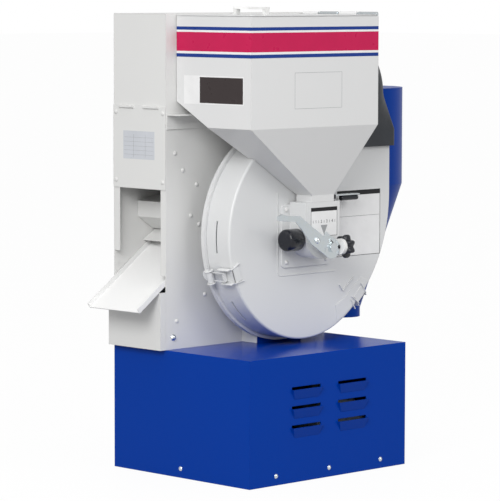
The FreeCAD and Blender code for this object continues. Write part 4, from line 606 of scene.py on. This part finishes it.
def toggle_latch(side, angle, centre, reach):
    """A toggle latch: x runs outward from the rim, y back, z along the rim; then turned into place."""
    foot, pin_x, pin_y = 6.3, 13.0, -18.5
    turn = math.radians(angle)
    spot = Vector((centre[0] + reach * math.cos(turn), 0, centre[1] + reach * math.sin(turn)))
    place = Matrix.Translation(spot * MM) @ Matrix.Rotation(-turn, 4, "Y")
    for kind, work, body in (("latch_base", latch_base(foot, pin_x, pin_y), "machine"),
                             ("latch_lever", latch_lever(pin_x, pin_y), f"{side}_latch"),
                             ("latch_catch", latch_catch(), "machine")):
        bmesh.ops.transform(work, matrix=place, verts=work.verts)
        name = f"{side}_{kind}"
        finished(name, work, body, "cover_paint", over=(name,), bevel=0.0005)


def guard_front():
    """The belt guard's closed foot, under the drum."""
    sheet, bottom, top = 1.6, 233.2, 400.0
    low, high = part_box("belt_guard")
    near, far = (low.x / MM + sheet, low.y / MM + 0.1, bottom), (high.x / MM - sheet, low.y / MM + sheet, top)
    work = bmesh.new()
    box_in(work, near, far)
    finished("guard_front", work, "machine", "blue_paint")


feed_lever()
star_knob()
clean_out_plug()
drum_ridge()
catch_plate()
WIDE_SHIFT, WIDE_TURN = 76, math.radians(57)
WIDE_CENTRE = (SCROLL_CENTRE[0] - WIDE_SHIFT * math.cos(WIDE_TURN),
               SCROLL_CENTRE[1] + WIDE_SHIFT * math.sin(WIDE_TURN))
toggle_latch("left", 200, SCROLL_CENTRE, 199.0)
toggle_latch("right", 315, WIDE_CENTRE, 275.0)
guard_front()
# the photo shows the inside of the tower's mouth painted
for name in ("upper_guide", "chamber_divider"):
    for place in frame["nodes"][name].material_slots:
        place.material = MATERIALS["beige_paint"]


# ---------------------------------------------------------------- floor, light and camera
def light_path_white(finish, seen, mirrored):
    """How far a surface shows as plain white: to the camera, and in mirrors and glass."""
    path = finish.add("ShaderNodeLightPath").outputs
    parts = []
    rays = (("Is Camera Ray", seen), ("Is Glossy Ray", mirrored), ("Is Transmission Ray", mirrored))
    for name, share in rays:
        scaled = finish.add("ShaderNodeMath")
        scaled.operation = "MULTIPLY"
        finish.give(scaled.inputs[0], path[name])
        scaled.inputs[1].default_value = share
        parts.append(scaled.outputs[0])
    total = parts[0]
    for part in parts[1:]:
        wider = finish.add("ShaderNodeMath")
        wider.operation = "MAXIMUM"
        finish.give(wider.inputs[0], total)
        finish.give(wider.inputs[1], part)
        total = wider.outputs[0]
    return total


FLOOR_REACH, FLOOR_Z = 40, -0.0005
DARKER, LIGHTER = (0.33, 0.33, 0.33, 1), (0.35, 0.35, 0.35, 1)
GLOW, SEEN, MIRRORED = 1.08, 0.88, 0.5
corners = [(x * FLOOR_REACH, y * FLOOR_REACH, FLOOR_Z) for x, y in ((-1, -1), (1, -1), (1, 1), (-1, 1))]
floor_mesh = bpy.data.meshes.new("floor")
floor_mesh.from_pydata(corners, [], [(0, 1, 2, 3)])
floor = bpy.data.objects.new("floor", floor_mesh)
bpy.context.scene.collection.objects.link(floor)
ground = Finish("pale_floor")
cloud = ground.between(ground.noise(3, 2), 0, 1)
ground.set(Base_Color=ground.blend(cloud, DARKER, LIGHTER))
ground.set(Roughness=0.6)
glow = ground.add("ShaderNodeEmission", Color=(1, 1, 1, 1), Strength=GLOW)
mix = ground.add("ShaderNodeMixShader")
ground.give(mix.inputs[0], light_path_white(ground, SEEN, MIRRORED))
ground.give(mix.inputs[1], ground.shader.outputs[0])
ground.give(mix.inputs[2], glow.outputs[0])
ground.give(ground.tree.nodes["Material Output"].inputs["Surface"], mix.outputs[0])
floor_mesh.materials.append(ground.material)

SKY_LIGHT, SKY_SEEN = 0.62, 1.0
world = bpy.data.worlds.new("studio")
bpy.context.scene.world = world
world.use_nodes = True
sky = world.node_tree
background = sky.nodes["Background"]
background.inputs["Color"].default_value = (1.0, 1.0, 1.0, 1)
path = sky.nodes.new("ShaderNodeLightPath").outputs
pick = sky.nodes.new("ShaderNodeMath")
pick.operation = "MAXIMUM"
sky.links.new(path["Is Camera Ray"], pick.inputs[0])
sky.links.new(path["Is Transmission Ray"], pick.inputs[1])
level = sky.nodes.new("ShaderNodeMapRange")
sky.links.new(pick.outputs[0], level.inputs[0])
level.inputs["To Min"].default_value = SKY_LIGHT
level.inputs["To Max"].default_value = SKY_SEEN
sky.links.new(level.outputs[0], background.inputs["Strength"])


def soft_light(name, place, target, size, power):
    """A square area light, size in metres and power in watts, aimed at a target."""
    data = bpy.data.lights.new(name, "AREA")
    data.shape = "SQUARE"
    data.size = size
    data.energy = power
    lamp = bpy.data.objects.new(name, data)
    lamp.location = place
    lamp.rotation_euler = (Vector(target) - Vector(place)).to_track_quat("-Z", "Y").to_euler()
    bpy.context.scene.collection.objects.link(lamp)


soft_light("key_light", (-3.6, -2.0, 2.6), (0, 0, 0.45), 2.0, 118)
soft_light("front_light", (0.6, -4.0, 2.6), (0, 0, 0.45), 2.0, 38)
soft_light("top_light", (-0.4, -0.6, 3.8), (0, 0, 0.3), 2.4, 16)

# the camera that was fitted to the photo's edges
YAW, PITCH, ROLL = (math.radians(angle) for angle in (44.67, 5.198, 0.128))
CAMERA_PLACE, LENS = (-3.8089, -3.8246, 0.8986), 207.6
forward = Vector((math.sin(YAW) * math.cos(PITCH), math.cos(YAW) * math.cos(PITCH), -math.sin(PITCH)))
level_right = Vector((math.cos(YAW), -math.sin(YAW), 0))
level_up = level_right.cross(forward)
camera_right = level_right * math.cos(ROLL) + level_up * math.sin(ROLL)
camera_up = level_up * math.cos(ROLL) - level_right * math.sin(ROLL)
camera_data = bpy.data.cameras.new("camera")
camera_data.sensor_fit = "HORIZONTAL"
camera_data.lens = LENS
camera_data.clip_end = 200
camera = bpy.data.objects.new("camera", camera_data)
basis = Matrix((camera_right, camera_up, -forward)).transposed().to_4x4()
camera.matrix_world = Matrix.Translation(CAMERA_PLACE) @ basis
bpy.context.scene.collection.objects.link(camera)
bpy.context.scene.camera = camera
bpy.context.scene.view_settings.view_transform = "Standard"
